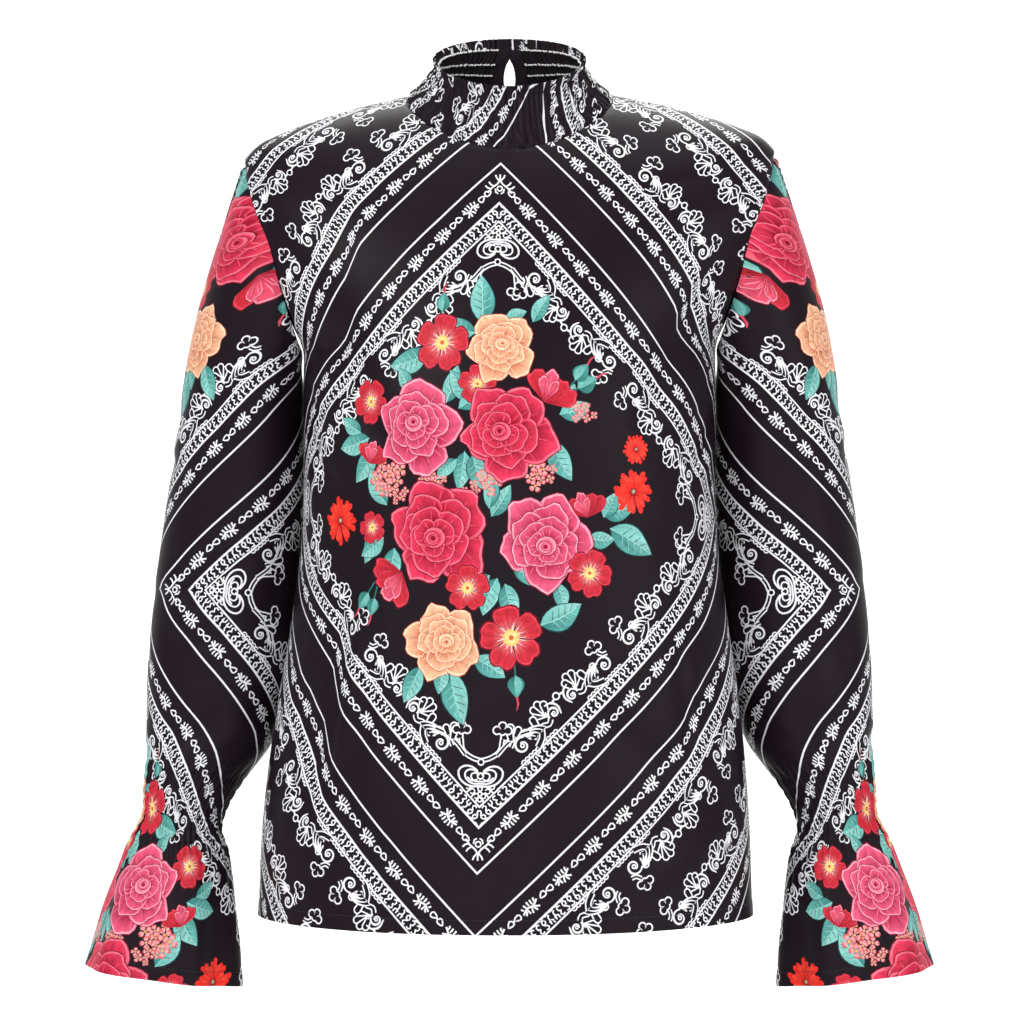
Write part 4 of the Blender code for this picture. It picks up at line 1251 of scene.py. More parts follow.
def blossoms(d, middle, size, count, seed):
    """A crowd of small flowers."""
    for k in range(count):
        a = math.radians(137.5 * k + 40 * seed)
        away = size * math.sqrt((k + 0.3) / count)
        at = (middle[0] + away * math.cos(a), middle[1] + 0.8 * away * math.sin(a))
        floret(d, at, size * 0.40 * (1 + 0.2 * math.sin(k * 1.9 + seed)), seed + k)


def bud(d, base, angle, length, seed):
    """A closed bud on a short stalk, with a red tip."""
    shadow, rim, deep, body = BUD
    d.add(line(turned([(-0.5 * length, 0.0), (0.1 * length, 0.0)], angle, base), 1.3), Ink(deep))
    share = np.linspace(0, 1, 8)
    half = 0.30 * length * np.sin(math.pi * share ** 0.7) ** 1.1
    up = np.stack((share * length * 0.8, half), axis=1)
    down = np.stack((share * length * 0.8, -half), axis=1)
    whole = np.concatenate((down, up[-2:0:-1]))
    light = np.concatenate((down * (1, 0.2), up[-2:0:-1] * (1, 0.75)))
    tip = [(0.72 * length, 0), (0.98 * length, 0.03 * length), (1.2 * length, -0.04 * length)]
    d.add([turned(whole, angle, base)], Ink(deep, body, base, length, seed))
    d.add([turned(light, angle, base)], Ink(rim, body, base, length, seed))
    d.add(line(turned(tip, angle, base), (1.6, 1.5, 0.5)), Ink(srgb(214, 74, 96)))


LEAVES = (
    ("x", "y", "angle", "length", "width"),
    (-10, 140, 94, 38, 20), (30, 142, 58, 26, 12), (-16, 132, 160, 28, 16), (-54, 116, 200, 34, 19),
    (8, 144, 20, 18, 10), (-36, 78, 75, 30, 14), (-22, 80, 118, 26, 13), (-68, 86, 118, 20, 11),
    (-26, 74, 40, 28, 14), (-12, 78, 100, 22, 11), (-104, 50, 196, 30, 17), (-98, 44, 240, 32, 17),
    (-112, 54, 150, 22, 12), (-20, 42, 262, 30, 14), (-14, 40, 290, 28, 15), (-26, 36, 225, 22, 11),
    (52, 72, 20, 26, 15), (46, 52, 300, 34, 17), (54, 78, 60, 20, 13),
    (-84, 0, 120, 32, 16), (-94, -18, 250, 28, 14), (-86, -24, 215, 26, 14), (-76, -32, 260, 28, 16),
    (2, -6, 60, 28, 13), (0, 0, 90, 28, 12), (8, -52, 250, 30, 16), (14, -56, 290, 28, 15),
    (2, -50, 215, 26, 14), (20, -42, 320, 24, 12), (54, -54, 285, 22, 12), (92, -4, 20, 26, 15),
    (96, -12, 334, 42, 21), (90, -4, 62, 22, 13), (78, -20, 0, 22, 13), (42, -86, 28, 36, 19),
    (-26, -122, 286, 42, 20), (-50, -120, 246, 30, 15),
    (-8, -112, 330, 28, 16), (-34, -118, 268, 22, 12),
)
ROSES = (
    ("x", "y", "radius", "colours", "seed"),
    (4, 121, 28, ROSE_PEACH, 1.0), (-60, 58, 36, ROSE_PINK, 2.0), (12, 58, 38, ROSE_RED, 3.2),
    (-41, -18, 42, ROSE_RED, 4.4), (43, -22, 38, ROSE_PINK, 5.1), (-34, -100, 30, ROSE_PEACH, 6.3),
)
OPEN_FLOWERS = (
    ("x", "y", "radius", "seed"),
    (-43, 124, 22, 0.4), (20, -96, 24, 1.1), (80, -46, 18, 2.2), (-15, -60, 17, 3.0), (-104, 78, 17, 4.2),
    (-12, 93, 15, 5.5), (-97, -17, 12, 6.1),
)
CUPS = (
    ("x", "y", "radius", "turn", "seed"),
    (45, 89, 18, -30, 0.3), (-99, 37, 12, -20, 1.2), (-76, -56, 18, 130, 2.1), (76, 3, 14, 10, 3.3),
)
DAISIES = (("x", "y", "radius", "seed"), (116, 48, 12, 0.2), (115, 16, 18, 1.3), (-132, -13, 19, 2.4))
BLOSSOMS = (
    ("x", "y", "radius", "count", "seed"),
    (-84, 22, 14, 9, 0.2), (-44, 18, 10, 7, 1.4), (0, 20, 11, 6, 2.2), (38, 26, 12, 8, 3.7),
    (71, 73, 10, 6, 4.1), (-74, 8, 9, 6, 5.0), (-14, 12, 8, 5, 6.2),
)
BUDS = (
    ("x", "y", "angle", "length", "seed"),
    (-45, 148, 84, 20, 0.1), (24, -124, 276, 22, 1.5), (66, 92, 28, 24, 2.2), (64, 98, 50, 22, 2.9),
    (-98, -66, 236, 20, 3.4), (-92, -70, 258, 18, 4.4),
)


def rows_of(table):
    """A table's rows by the names in its first one."""
    return [dict(zip(table[0], row)) for row in table[1:]]


UNDER_ROSES = 4  # the open flowers from this one on lie under the roses


def bouquet():
    """The flowers in the middle of a printed square, in millimetres from it."""
    d = Drawing()
    for k, r in enumerate(rows_of(LEAVES)):
        leaf(d, (r["x"], r["y"]), r["angle"], r["length"], r["width"], 0.7 * k)
    for r in rows_of(BUDS):
        bud(d, (r["x"], r["y"]), r["angle"], r["length"], r["seed"])
    for r in rows_of(BLOSSOMS):
        blossoms(d, (r["x"], r["y"]), r["radius"], r["count"], r["seed"])

    def stamp(flower, r, turn=0.0):
        """Adds a flower of unit radius where its row says."""
        d.mapped(flower, lambda p: turned(p * r["radius"], turn, (r["x"], r["y"])), r["radius"])

    for r in rows_of(CUPS):
        stamp(cup(r["seed"]), r, r["turn"])
    for r in rows_of(OPEN_FLOWERS)[UNDER_ROSES:]:
        stamp(five_petal(r["seed"]), r)
    for r in rows_of(ROSES):
        stamp(rose(r["colours"], r["seed"]), r)
    for r in rows_of(OPEN_FLOWERS)[:UNDER_ROSES]:
        stamp(five_petal(r["seed"]), r)
    for r in rows_of(DAISIES):
        stamp(daisy(r["seed"]), r)
    return d


def side_points(points, middle, tilt, quarter, mirrored, half, facing):
    """Takes half-side places into the flat cut, for one side of one square."""
    t = points[:, 0] * (-1.0 if mirrored else 1.0)
    away = half - facing * points[:, 1]
    return turned(np.stack((t, away), axis=1), 45.0 + 90.0 * quarter + tilt, middle)


def corner_points(points, middle, tilt, quarter):
    """Takes corner places into the flat cut."""
    away = HALF_SIDE * math.sqrt(2.0) - points[:, 1]
    return turned(np.stack((points[:, 0], away), axis=1), 90.0 * quarter + tilt, middle)


SPRAY = spray()


TUCK_COLUMNS = ("u0", "v0", "u1", "v1", "hidden", "side")
TUCKS = (  # on the front's flat cut
    (-124, 262, -156, 90, 20, -1), (138, 225, 148, 120, 9, 1),
    (-126, 550, -142, 430, 11, -1), (190, 530, 130, 430, 13, 1),
)
TUCK_WIDTH = 12.0  # mm over which what a fold hides is squeezed


def tucked(points):
    """Draws the print in where a fold of the front hides a strip of it."""
    u = points[:, 0].copy()
    for row in TUCKS:
        t = dict(zip(TUCK_COLUMNS, row))
        share = (points[:, 1] - t["v0"]) / (t["v1"] - t["v0"])
        fold = t["u0"] + (t["u1"] - t["u0"]) * share
        hidden = t["hidden"] * ease((share + 0.1) / 0.45) * ease((1.1 - share) / 0.45)
        away = (u - fold) * t["side"]
        strip = TUCK_WIDTH + hidden
        squeezed = np.clip(away, 0.0, strip) * TUCK_WIDTH / strip
        drawn = np.minimum(away, 0.0) + squeezed + np.maximum(away - strip, 0.0)
        u = fold + t["side"] * drawn
    return np.stack((u, points[:, 1]), axis=1)


COLLAR_APEX = (33.0, 50.0)  # where the outer line of the collar's frame turns


def as_gathered(points):
    """Shifts the collar's print to the right of its plain wedge, as its gathers do."""
    shift = np.where(points[:, 0] > COLLAR_APEX[0], 1.2 * points[:, 1] - 42.0, 0.0)
    return points + np.stack((shift, 0.0 * shift), axis=1)


PRINT_CELL = 12.0  # mm, of the coarse map of where a piece is
PRINT_MARGIN = 20.0
LEAST_INK = 0.01  # square millimetres, of the smallest shape that is kept


class Print:
    """The ink on one piece of cloth, kept only where the piece is."""

    def __init__(self, cloth, warp=None):
        self.warp = warp
        self.shapes = []
        self.inks = []
        u = cloth.u[::3, ::3].ravel()
        v = cloth.v[::3, ::3].ravel()
        self.low = np.array((u.min(), v.min())) - PRINT_MARGIN
        self.high = np.array((u.max(), v.max())) + PRINT_MARGIN
        size = ((self.high - self.low) / PRINT_CELL).astype(int) + 3
        self.here = np.zeros(size, bool)
        at = ((np.stack((u, v), axis=1) - self.low) / PRINT_CELL).astype(int)
        for a in (-1, 0, 1):
            for b in (-1, 0, 1):
                self.here[at[:, 0] + a, at[:, 1] + b] = True

    def put(self, drawing, place):
        """Draws everything in a drawing, through a function that takes its places into the flat cut."""
        if not hasattr(drawing, "counts"):
            drawing.counts = np.array([len(shape) for shape in drawing.shapes])
            drawing.starts = np.concatenate(((0,), np.cumsum(drawing.counts)[:-1]))
            drawing.points = np.concatenate(drawing.shapes)
            drawing.after = np.arange(1, len(drawing.points) + 1)
            drawing.after[drawing.starts + drawing.counts - 1] = drawing.starts
        points = place(drawing.points)
        if self.warp:
            points = self.warp(points)
        middle = np.add.reduceat(points, drawing.starts) / drawing.counts[:, None]
        x = points[:, 0]
        y = points[:, 1]
        after = drawing.after
        area = np.add.reduceat(x * y[after] - y * x[after], drawing.starts) / 2
        cell = ((middle - self.low) / PRINT_CELL).astype(int)
        inside = ((middle > self.low) & (middle < self.high)).all(axis=1)
        cell = np.where(inside[:, None], cell, 0)
        kept = inside & self.here[cell[:, 0], cell[:, 1]] & (np.abs(area) >= LEAST_INK)
        moved = {}
        for k in np.nonzero(kept)[0]:
            shape = points[drawing.starts[k]:drawing.starts[k] + drawing.counts[k]]
            ink = drawing.inks[k]
            if id(ink) not in moved:
                moved[id(ink)] = ink.moved(place)
            self.shapes.append(shape if area[k] > 0 else shape[::-1])
            self.inks.append(moved[id(ink)])

    def side(self, drawing, quarter, middle, tilt, half=HALF_SIDE, facing=1):
        """Prints one side of a frame, which is half a side and its mirror image."""
        for mirrored in (False, True):
            self.put(drawing, lambda p: side_points(p, middle, tilt, quarter, mirrored, half, facing))

    def square(self, middle, tilt, motifs, mirror=1.0):
        """Prints a square with its borders, its corners and its flowers."""
        for quarter in range(4):
            self.side(motifs["side"], quarter, middle, tilt)
            self.put(motifs["corner"], lambda p: corner_points(p, middle, tilt, quarter))
        self.put(motifs["flowers"], lambda p: turned(p * (mirror, 1.0), tilt, middle))

    def lattice(self, origin, tilt, motifs, mirror=1.0):
        """Prints a lattice of squares."""
        for i in range(-2, 3):
            for j in range(-2, 3):
                step = turned([(i * REPEAT, j * REPEAT)], 45.0 + tilt, origin)[0]
                self.square(step, tilt, motifs, mirror)

    def framed(self, middle, tilt, motifs, filled=True):
        """Prints one square, and the frames that stand round it."""
        for (half, facing), drawing in zip(FRAMES, motifs["frames"]):
            for quarter in range(4):
                self.side(drawing, quarter, middle, tilt, half, facing)
        if filled:
            self.square(middle, tilt, motifs)


# ---------------------------------------------------------------- meshes

def divide(places, edges, faces):
    """Triangles over the first face, which keep all the edges and the outlines of all the faces. Returns
    the places, the triangles and the last face that each lies in."""
    out = delaunay_2d_cdt([Vector(p) for p in places], edges, faces, 0, 1e-4, True)
    flat = np.array([tuple(p) for p in out[0]])
    kept = [(face, max(ids)) for face, ids in zip(out[2], out[5]) if ids and min(ids) == 0]
    return flat, np.array([face for face, _ in kept]), np.array([top for _, top in kept])


def half_edges(triangles):
    """Each triangle's edges, as pairs of its points."""
    pairs = [triangles[:, [k, (k + 1) % 3]] for k in range(3)]
    return np.concatenate(pairs).astype(np.int64)


def outline_of(triangles):
    """The loop of points round the edge of a mesh, with the mesh on its left."""
    halves = half_edges(triangles)
    size = halves.max() + 1
    forward = halves[:, 0] * size + halves[:, 1]
    backward = halves[:, 1] * size + halves[:, 0]
    border = halves[~np.isin(forward, backward)]
    after = dict(border.tolist())
    loop = [int(border[0, 0])]
    while after[loop[-1]] != loop[0]:
        loop.append(after[loop[-1]])
    return np.array(loop)


def parted_edges(triangles, kinds):
    """The edges between triangles of two kinds."""
    halves = half_edges(triangles)
    key = halves.min(axis=1) * (halves.max() + 1) + halves.max(axis=1)
    order = np.argsort(key, kind="stable")
    key = key[order]
    kind = np.tile(kinds, 3)[order]
    first = np.nonzero((key[1:] == key[:-1]) & (kind[1:] != kind[:-1]))[0]
    return halves[order][first]


def straightened(flat, edges, fixed, slack, reach):
    """Leaves out the points that lie almost on the line between the two that they join, as long as that
    line is shorter than the reach."""
    rank = np.random.default_rng(3).permutation(len(flat))
    for _ in range(9):
        ends = np.concatenate((edges, edges[:, ::-1]))
        ends = ends[np.argsort(ends[:, 0], kind="stable")]
        start = np.searchsorted(ends[:, 0], np.arange(len(flat) + 1))
        middle = np.nonzero((np.diff(start) == 2) & ~fixed)[0]
        a = ends[start[middle], 1]
        b = ends[start[middle] + 1, 1]
        line = flat[b] - flat[a]
        length = np.linalg.norm(line, axis=1)
        share = np.clip(dot(flat[middle] - flat[a], line) / np.maximum(length, 1e-9) ** 2, 0.0, 1.0)
        gap = np.linalg.norm(flat[middle] - flat[a] - share[:, None] * line, axis=1)
        fit = (gap < slack) & (length < reach) & (a != b)
        order = np.full(len(flat), -1)
        order[middle[fit]] = rank[middle[fit]]
        chosen = fit & (order[middle] > order[a]) & (order[middle] > order[b])
        if not chosen.any():
            break
        gone = np.zeros(len(flat), bool)
        gone[middle[chosen]] = True
        edges = np.concatenate((edges[~gone[edges].any(axis=1)], np.stack((a[chosen], b[chosen]), axis=1)))
        edges = np.unique(np.sort(edges, axis=1), axis=0)
    return edges


def cell_codes(places, size):
    """A number for the small square that each place lies in."""
    at = np.floor(places / size).astype(np.int64)
    return at[:, 0] * 1000003 + at[:, 1]


SAME_PLACE = 1e-3  # mm


def triangulate(edge, inside, ink, slack, reach, clear):
    """Triangles over the region within an edge, which follow what is seen of the ink and go through the
    inside places. Returns the places, the triangles and the shape on top of each, or -1."""
    places = [edge, *ink.shapes]
    ends = np.cumsum([len(shape) for shape in places])
    faces = [list(range(end - len(shape), end)) for shape, end in zip(places, ends)]
    flat, triangles, tops = divide(np.concatenate(places).tolist(), [], faces)
    tops = tops - 1
    numbers = {id(COVER): 0, id(LINE): 1}
    kinds = np.array([0] + [numbers.setdefault(id(i), len(numbers)) for i in ink.inks])[tops + 1]
    seen = parted_edges(triangles, kinds)
    loop = outline_of(triangles)
    on_edge = np.zeros(len(flat), bool)
    on_edge[loop] = True
    seen = straightened(flat, seen, on_edge, slack, reach)
    used = np.zeros(len(flat), bool)
    used[seen.ravel()] = True
    own = np.isin(cell_codes(flat[loop], SAME_PLACE), cell_codes(edge, SAME_PLACE))
    loop = loop[used[loop] | own]
    used[loop] = True
    number = np.cumsum(used) - 1
    taken = flat[used]
    inside = inside[~np.isin(cell_codes(inside, clear), cell_codes(taken, clear))]
    lookup = BVHTree.FromPolygons([(x, y, 0.0) for x, y in flat.tolist()], triangles.tolist())
    flat, triangles, _ = divide(
        np.concatenate((taken, inside)).tolist(), number[seen].tolist(), [number[loop].tolist()])
    down = Vector((0.0, 0.0, -1.0))
    under = []
    for x, y in flat[triangles].mean(axis=1).tolist():
        hit = lookup.ray_cast(Vector((x, y, 1.0)), down)[2]
        under.append(hit if hit is not None else lookup.find_nearest(Vector((x, y, 0.0)))[2])
    return flat, triangles, tops[under]


def plain_corners(count):
    """The colours and brush marks of the corners of triangles with no coloured ink."""
    return np.tile((*BLACK, 0.0), (count, 3, 1)), np.zeros((count, 3, 3))


def corner_inks(flat, triangles, tops, inks):
    """Each corner's colour and brush mark, from the ink on top."""
    colours, marks = plain_corners(len(triangles))
    coloured = np.array([ink.slot == GROUND and ink is not COVER for ink in inks])
    printed = np.nonzero((tops >= 0) & coloured[np.maximum(tops, 0)])[0]

    def of_top(name):
        return np.array([getattr(ink, name) for ink in inks])[tops[printed]][:, None]

    away = flat[triangles[printed]] - of_top("centre")
    distance = np.linalg.norm(away, axis=2) / of_top("reach")
    start = of_top("start")
    share = np.clip((distance - start) / (1.0 - start), 0.0, 1.0)[..., None]
    colours[printed, :, :3] = of_top("inner") * (1 - share) + of_top("outer") * share
    colours[printed, :, 3] = 1.0
    marks[printed, :, 0] = np.arctan2(away[..., 1], away[..., 0])
    marks[printed, :, 1] = distance
    marks[printed, :, 2] = of_top("marks")
    return colours, marks


def inner_mesh(cloth, around):
    """Triangles for the plain inner face, within the outer face's edge. Returns their places, the triangles
    and which of the places are on the edge."""
    places = np.concatenate((around, cloth.inside(cloth.keep_inner)))
    flat, triangles, _ = divide(places.tolist(), [], [list(range(len(around)))])
    near = flat_tree(flat)
    loop = np.array([near.find((x, y, 0.0))[1] for x, y in around])
    return flat, triangles, loop


def add_object(name, data):
    made = bpy.data.objects.new(name, data)
    bpy.context.scene.collection.objects.link(made)
    return made


def new_mesh(name, points, faces, materials):
    """A smooth mesh."""
    mesh = bpy.data.meshes.new(name)
    mesh.from_pydata(np.asarray(points).reshape(-1, 3).tolist(), [], faces)
    for material in materials:
        mesh.materials.append(material)
    mesh.polygons.foreach_set("use_smooth", [True] * len(faces))
    return mesh


def cloth_object(cloth, ink, materials, turned_in=None):
    """Makes a piece of cloth as one closed mesh: its printed outer face, its inner face and its edges. Above
    the height where the cloth is turned in, its inner face shows the print too."""
    edge = cloth.edge()
    if doubled_area(edge) < 0:
        edge = edge[::-1]
    flat, triangles, tops = triangulate(edge, cloth.inside(cloth.keep), ink, **cloth.detail)
    used, triangles = np.unique(triangles, return_inverse=True)
    triangles = triangles.reshape(-1, 3)
    flat = flat[used]
    places, normals = cloth.at(flat)
    colours, marks = corner_inks(flat, triangles, tops, ink.inks)
    slots = np.array([0] + [i.slot for i in ink.inks])[tops + 1]
    loop = outline_of(triangles)
    if turned_in is None:
        inner_flat, inner_triangles, inner_loop = inner_mesh(cloth, flat[loop])
        inner_slots = np.full(len(inner_triangles), INSIDE)
        rim_slot = INSIDE
    else:
        inner_flat, inner_triangles, inner_loop = flat, triangles, loop
        inner_slots = np.where(flat[triangles].mean(axis=1)[:, 1] > turned_in, slots, INSIDE)
        rim_slot = GROUND
    inner_places, inner_normals = cloth.at(inner_flat)
    inner_places = inner_places - inner_normals * CLOTH
    a = loop
    b = np.roll(loop, -1)
    c = inner_loop + len(flat)
    d = np.roll(c, -1)
    rim = np.concatenate((np.stack((b, a, c), axis=1), np.stack((b, c, d), axis=1)))
    faces = np.concatenate((triangles, inner_triangles[:, ::-1] + len(flat), rim))
    mesh = new_mesh(cloth.name, np.concatenate((places, inner_places)), faces.tolist(), materials)
    all_slots = np.concatenate((slots, inner_slots, np.full(len(rim), rim_slot)))
    mesh.polygons.foreach_set("material_index", all_slots.astype(np.int32))
    plain_colours, plain_marks = plain_corners(len(inner_triangles) + len(rim))
    ink_layer = mesh.attributes.new("ink", "FLOAT_COLOR", "CORNER")
    ink_layer.data.foreach_set("color", np.concatenate((colours, plain_colours)).ravel())
    mark_layer = mesh.attributes.new("marks", "FLOAT_VECTOR", "CORNER")
    mark_layer.data.foreach_set("vector", np.concatenate((marks, plain_marks)).ravel())
    corners = faces.ravel()
    cut = mesh.uv_layers.new(name="cut")
    cut.data.foreach_set("uv", (np.concatenate((flat, inner_flat)) * MM)[corners].ravel())
    mesh.update()
    outwards = np.concatenate((normals, -inner_normals))
    mesh.normals_split_custom_set(outwards[corners].tolist())
    return add_object(cloth.name, mesh)


# ---------------------------------------------------------------- sewing

STITCH_RINGS = ((0.0, -0.7, 0.5), (0.2, 0.45, 1.0), (0.8, 0.45, 1.0), (1.0, -0.7, 0.5))  # along, up, size


HEM_THREAD = 0.22 * MM
ELASTIC_THREAD = 0.75 * MM
ELASTIC_CLEAR = 13.0  # mm at each end of the collar with no elastic
BINDING_OUT = 0.5 * MM
BINDING_DROP = 0.6 * MM
BINDING_RADIUS = 0.9 * MM


def solid_object(name, points, faces, material):
    """A smooth solid that rides with the blouse."""
    made = add_object(name, new_mesh(name, points, faces, [material]))
    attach(made, "root")
    return made


def tube_faces(rings, sides, first=0):
    """The sides and the ends of a tube, whose points lie in rings from a first point on."""
    faces = []
    for k in range(rings - 1):
        for s in range(sides):
            a = first + k * sides + s
            b = first + k * sides + (s + 1) % sides
            faces.append((a, b, b + sides, a + sides))
    faces.append(tuple(first + s for s in range(sides - 1, -1, -1)))
    faces.append(tuple(first + (rings - 1) * sides + s for s in range(sides)))
    return faces


def stitches(name, starts, ends, normals, radius, material, sides=5):
    """Stitches as one piece, each a short arched thread that sinks into the cloth at both ends."""
    across = np.cross(normals, unit(ends - starts))
    turn = turn_ways(sides)[None, :, None]
    around = np.cos(turn) * across[:, None, :] + np.sin(turn) * normals[:, None, :]
    rings = []
    for share, lift, size in STITCH_RINGS:
        middle = starts + (ends - starts) * share + normals * radius * lift
        rings.append(middle[:, None, :] + radius * size * around)
    faces = []
    for k in range(len(starts)):
        faces += tube_faces(len(rings), sides, k * len(rings) * sides)
    return solid_object(name, np.stack(rings, axis=1), faces, material)


def stitch_row(cloth, u_line, v_line, pitch, length, seed, inwards=0.0, slant=0.0):
    """The ends of the stitches along a line on the flat cut, on its outer face or inwards from it."""
    along = distances(np.stack((u_line, v_line), axis=1))
    rng = np.random.default_rng(seed)
    starts = np.arange(1.5, along[-1] - length - 1.5, pitch)
    starts = starts + rng.uniform(-0.12, 0.12, len(starts)) * pitch
    ends = starts + length * rng.uniform(0.88, 1.08, len(starts))
    flat = []
    for places, way in ((starts, -1), (ends, 1)):
        at = np.stack((np.interp(places, along, u_line), np.interp(places, along, v_line)), axis=1)
        at[:, 1] += rng.uniform(-0.14, 0.14, len(at)) + slant * way
        flat.append(at)
    (a, normal_a), (b, normal_b) = cloth.at(flat[0]), cloth.at(flat[1])
    normals = unit(normal_a + normal_b)
    if inwards:
        return a - normals * inwards, b - normals * inwards, -normals
    return a, b, normals


def hem_stitches(cloth, material):
    """The row of stitches that holds a hem."""
    name = cloth.name.replace("_cloth", "_hem_stitches")
    u = np.linspace(cloth.u[0, 0], cloth.u[0, -1], 200)
    v = np.interp(u, cloth.u[0], cloth.v[0]) + HEM_DEEP
    starts, ends, normals = stitch_row(cloth, u, v, 2.9, 2.1, 5 + len(name))
    return stitches(name, starts, ends, normals, HEM_THREAD, material)


def elastic(cloth, material):
    """Rows of elastic thread on the inside of the collar."""
    u = np.linspace(cloth.u.min() + ELASTIC_CLEAR, cloth.u.max() - ELASTIC_CLEAR, 300)
    inwards = CLOTH + ELASTIC_THREAD
    parts = []
    for k, up in enumerate(ELASTIC_UP):
        v = np.full(len(u), cloth.v[-1, 0] * up)
        parts.append(stitch_row(cloth, u, v, 2.8, 2.6, 40 + k, inwards, slant=0.25))
    starts, ends, normals = (np.concatenate(p) for p in zip(*parts))
    return stitches("collar_elastic", starts, ends, normals, ELASTIC_THREAD, material)


def tube(name, path, radius, material, sides=8):
    """A round binding along a path."""
    ways = unit(np.gradient(path, axis=0))
    side = unit(np.cross(ways, np.broadcast_to((0.0, 1.0, 0.2), path.shape)))
    up = np.cross(side, ways)
    turn = turn_ways(sides)[None, :, None]
    rings = path[:, None, :] + radius * (np.cos(turn) * side[:, None, :] + np.sin(turn) * up[:, None, :])
    return solid_object(name, rings, tube_faces(len(path), sides), material)


def keyhole_binding(cloth, material):
    """The narrow binding round the keyhole and up both edges of its slit."""
    up = (cloth.v[:, 0] - cloth.v[0, 0]) / (cloth.v[-1, 0] - cloth.v[0, 0])
    first = int(np.searchsorted(up, KEYHOLE_BOTTOM)) - 1
    out = BINDING_OUT * np.sign(cloth.points[0, 0, 0] - cloth.points[0, -1, 0])
    sides = []
    for column, way in ((0, 1), (-1, -1)):
        edge = cloth.points[first:, column] - cloth.normals[first:, column] * CLOTH / 2
        sides.append(edge + np.array((way * out, 0.0, 0.0)))
    bottom = (sides[0][0] + sides[1][0]) / 2 - np.array((0.0, 0.0, BINDING_DROP))
    path = np.concatenate((sides[0][::-1], [bottom], sides[1]))
    return tube("keyhole_binding", path, BINDING_RADIUS, material)


# ---------------------------------------------------------------- materials

WEAVE_STRENGTH = 0.16
WEAVE_DEPTH = 0.00008


def new_material(name):
    """A material, with its node tree and its shader."""
    material = bpy.data.materials.new(name)
    material.use_nodes = True
    tree = material.node_tree
    return material, tree, tree.nodes["Principled BSDF"]


def node(tree, kind, **settings):
    made = tree.nodes.new(kind)
    for key, value in settings.items():
        setattr(made, key, value)
    return made


def math_node(tree, operation, *values):
    made = node(tree, "ShaderNodeMath", operation=operation)
    for socket, value in zip(made.inputs, values):
        if isinstance(value, (int, float)):
            socket.default_value = value
        else:
            tree.links.new(value, socket)
    return made.outputs[0]


def noise_node(tree, vector, scale, detail=2.0, rough=0.5):
    made = node(tree, "ShaderNodeTexNoise")
    made.inputs["Scale"].default_value = scale
    made.inputs["Detail"].default_value = detail
    made.inputs["Roughness"].default_value = rough
    tree.links.new(vector, made.inputs["Vector"])
    return made.outputs["Fac"]


def scaled(tree, vector, x, y, z=1.0):
    made = node(tree, "ShaderNodeVectorMath", operation="MULTIPLY")
    tree.links.new(vector, made.inputs[0])
    made.inputs[1].default_value = (x, y, z)
    return made.outputs[0]


def colour_node(tree, colour):
    made = node(tree, "ShaderNodeRGB")
    made.outputs[0].default_value = (*colour, 1.0)
    return made.outputs[0]


def shade(tree, shader, base, level):
    """Gives the shader a base colour, made lighter or darker by a level."""
    made = node(tree, "ShaderNodeVectorMath", operation="SCALE")
    tree.links.new(base, made.inputs[0])
    tree.links.new(level, made.inputs["Scale"])
    tree.links.new(made.outputs[0], shader.inputs["Base Color"])


def blend(tree, shader, share, first, second):
    """Gives the shader a base colour between two."""
    made = node(tree, "ShaderNodeMix", data_type="RGBA")
    made.inputs[6].default_value = (*first, 1.0)
    made.inputs[7].default_value = (*second, 1.0)
    tree.links.new(share, made.inputs[0])
    tree.links.new(made.outputs[2], shader.inputs["Base Color"])


def bump(tree, shader, height, strength, distance):
    made = node(tree, "ShaderNodeBump")
    made.inputs["Strength"].default_value = strength
    made.inputs["Distance"].default_value = distance
    tree.links.new(height, made.inputs["Height"])
    tree.links.new(made.outputs[0], shader.inputs["Normal"])


def weave(tree, shader, cut):
    """The satin's height: long floats of thread along the cut, with uneven yarn."""
    floats = noise_node(tree, scaled(tree, cut, 3600.0, 420.0), 1.0, 2.0)
    cross = noise_node(tree, scaled(tree, cut, 500.0, 2600.0), 1.0, 1.0)
    slub = noise_node(tree, scaled(tree, cut, 900.0, 22.0), 1.0, 2.0)
    height = math_node(tree, "MULTIPLY_ADD", cross, 0.35, floats)
    height = math_node(tree, "MULTIPLY_ADD", slub, 0.5, height)
    bump(tree, shader, height, WEAVE_STRENGTH, WEAVE_DEPTH)


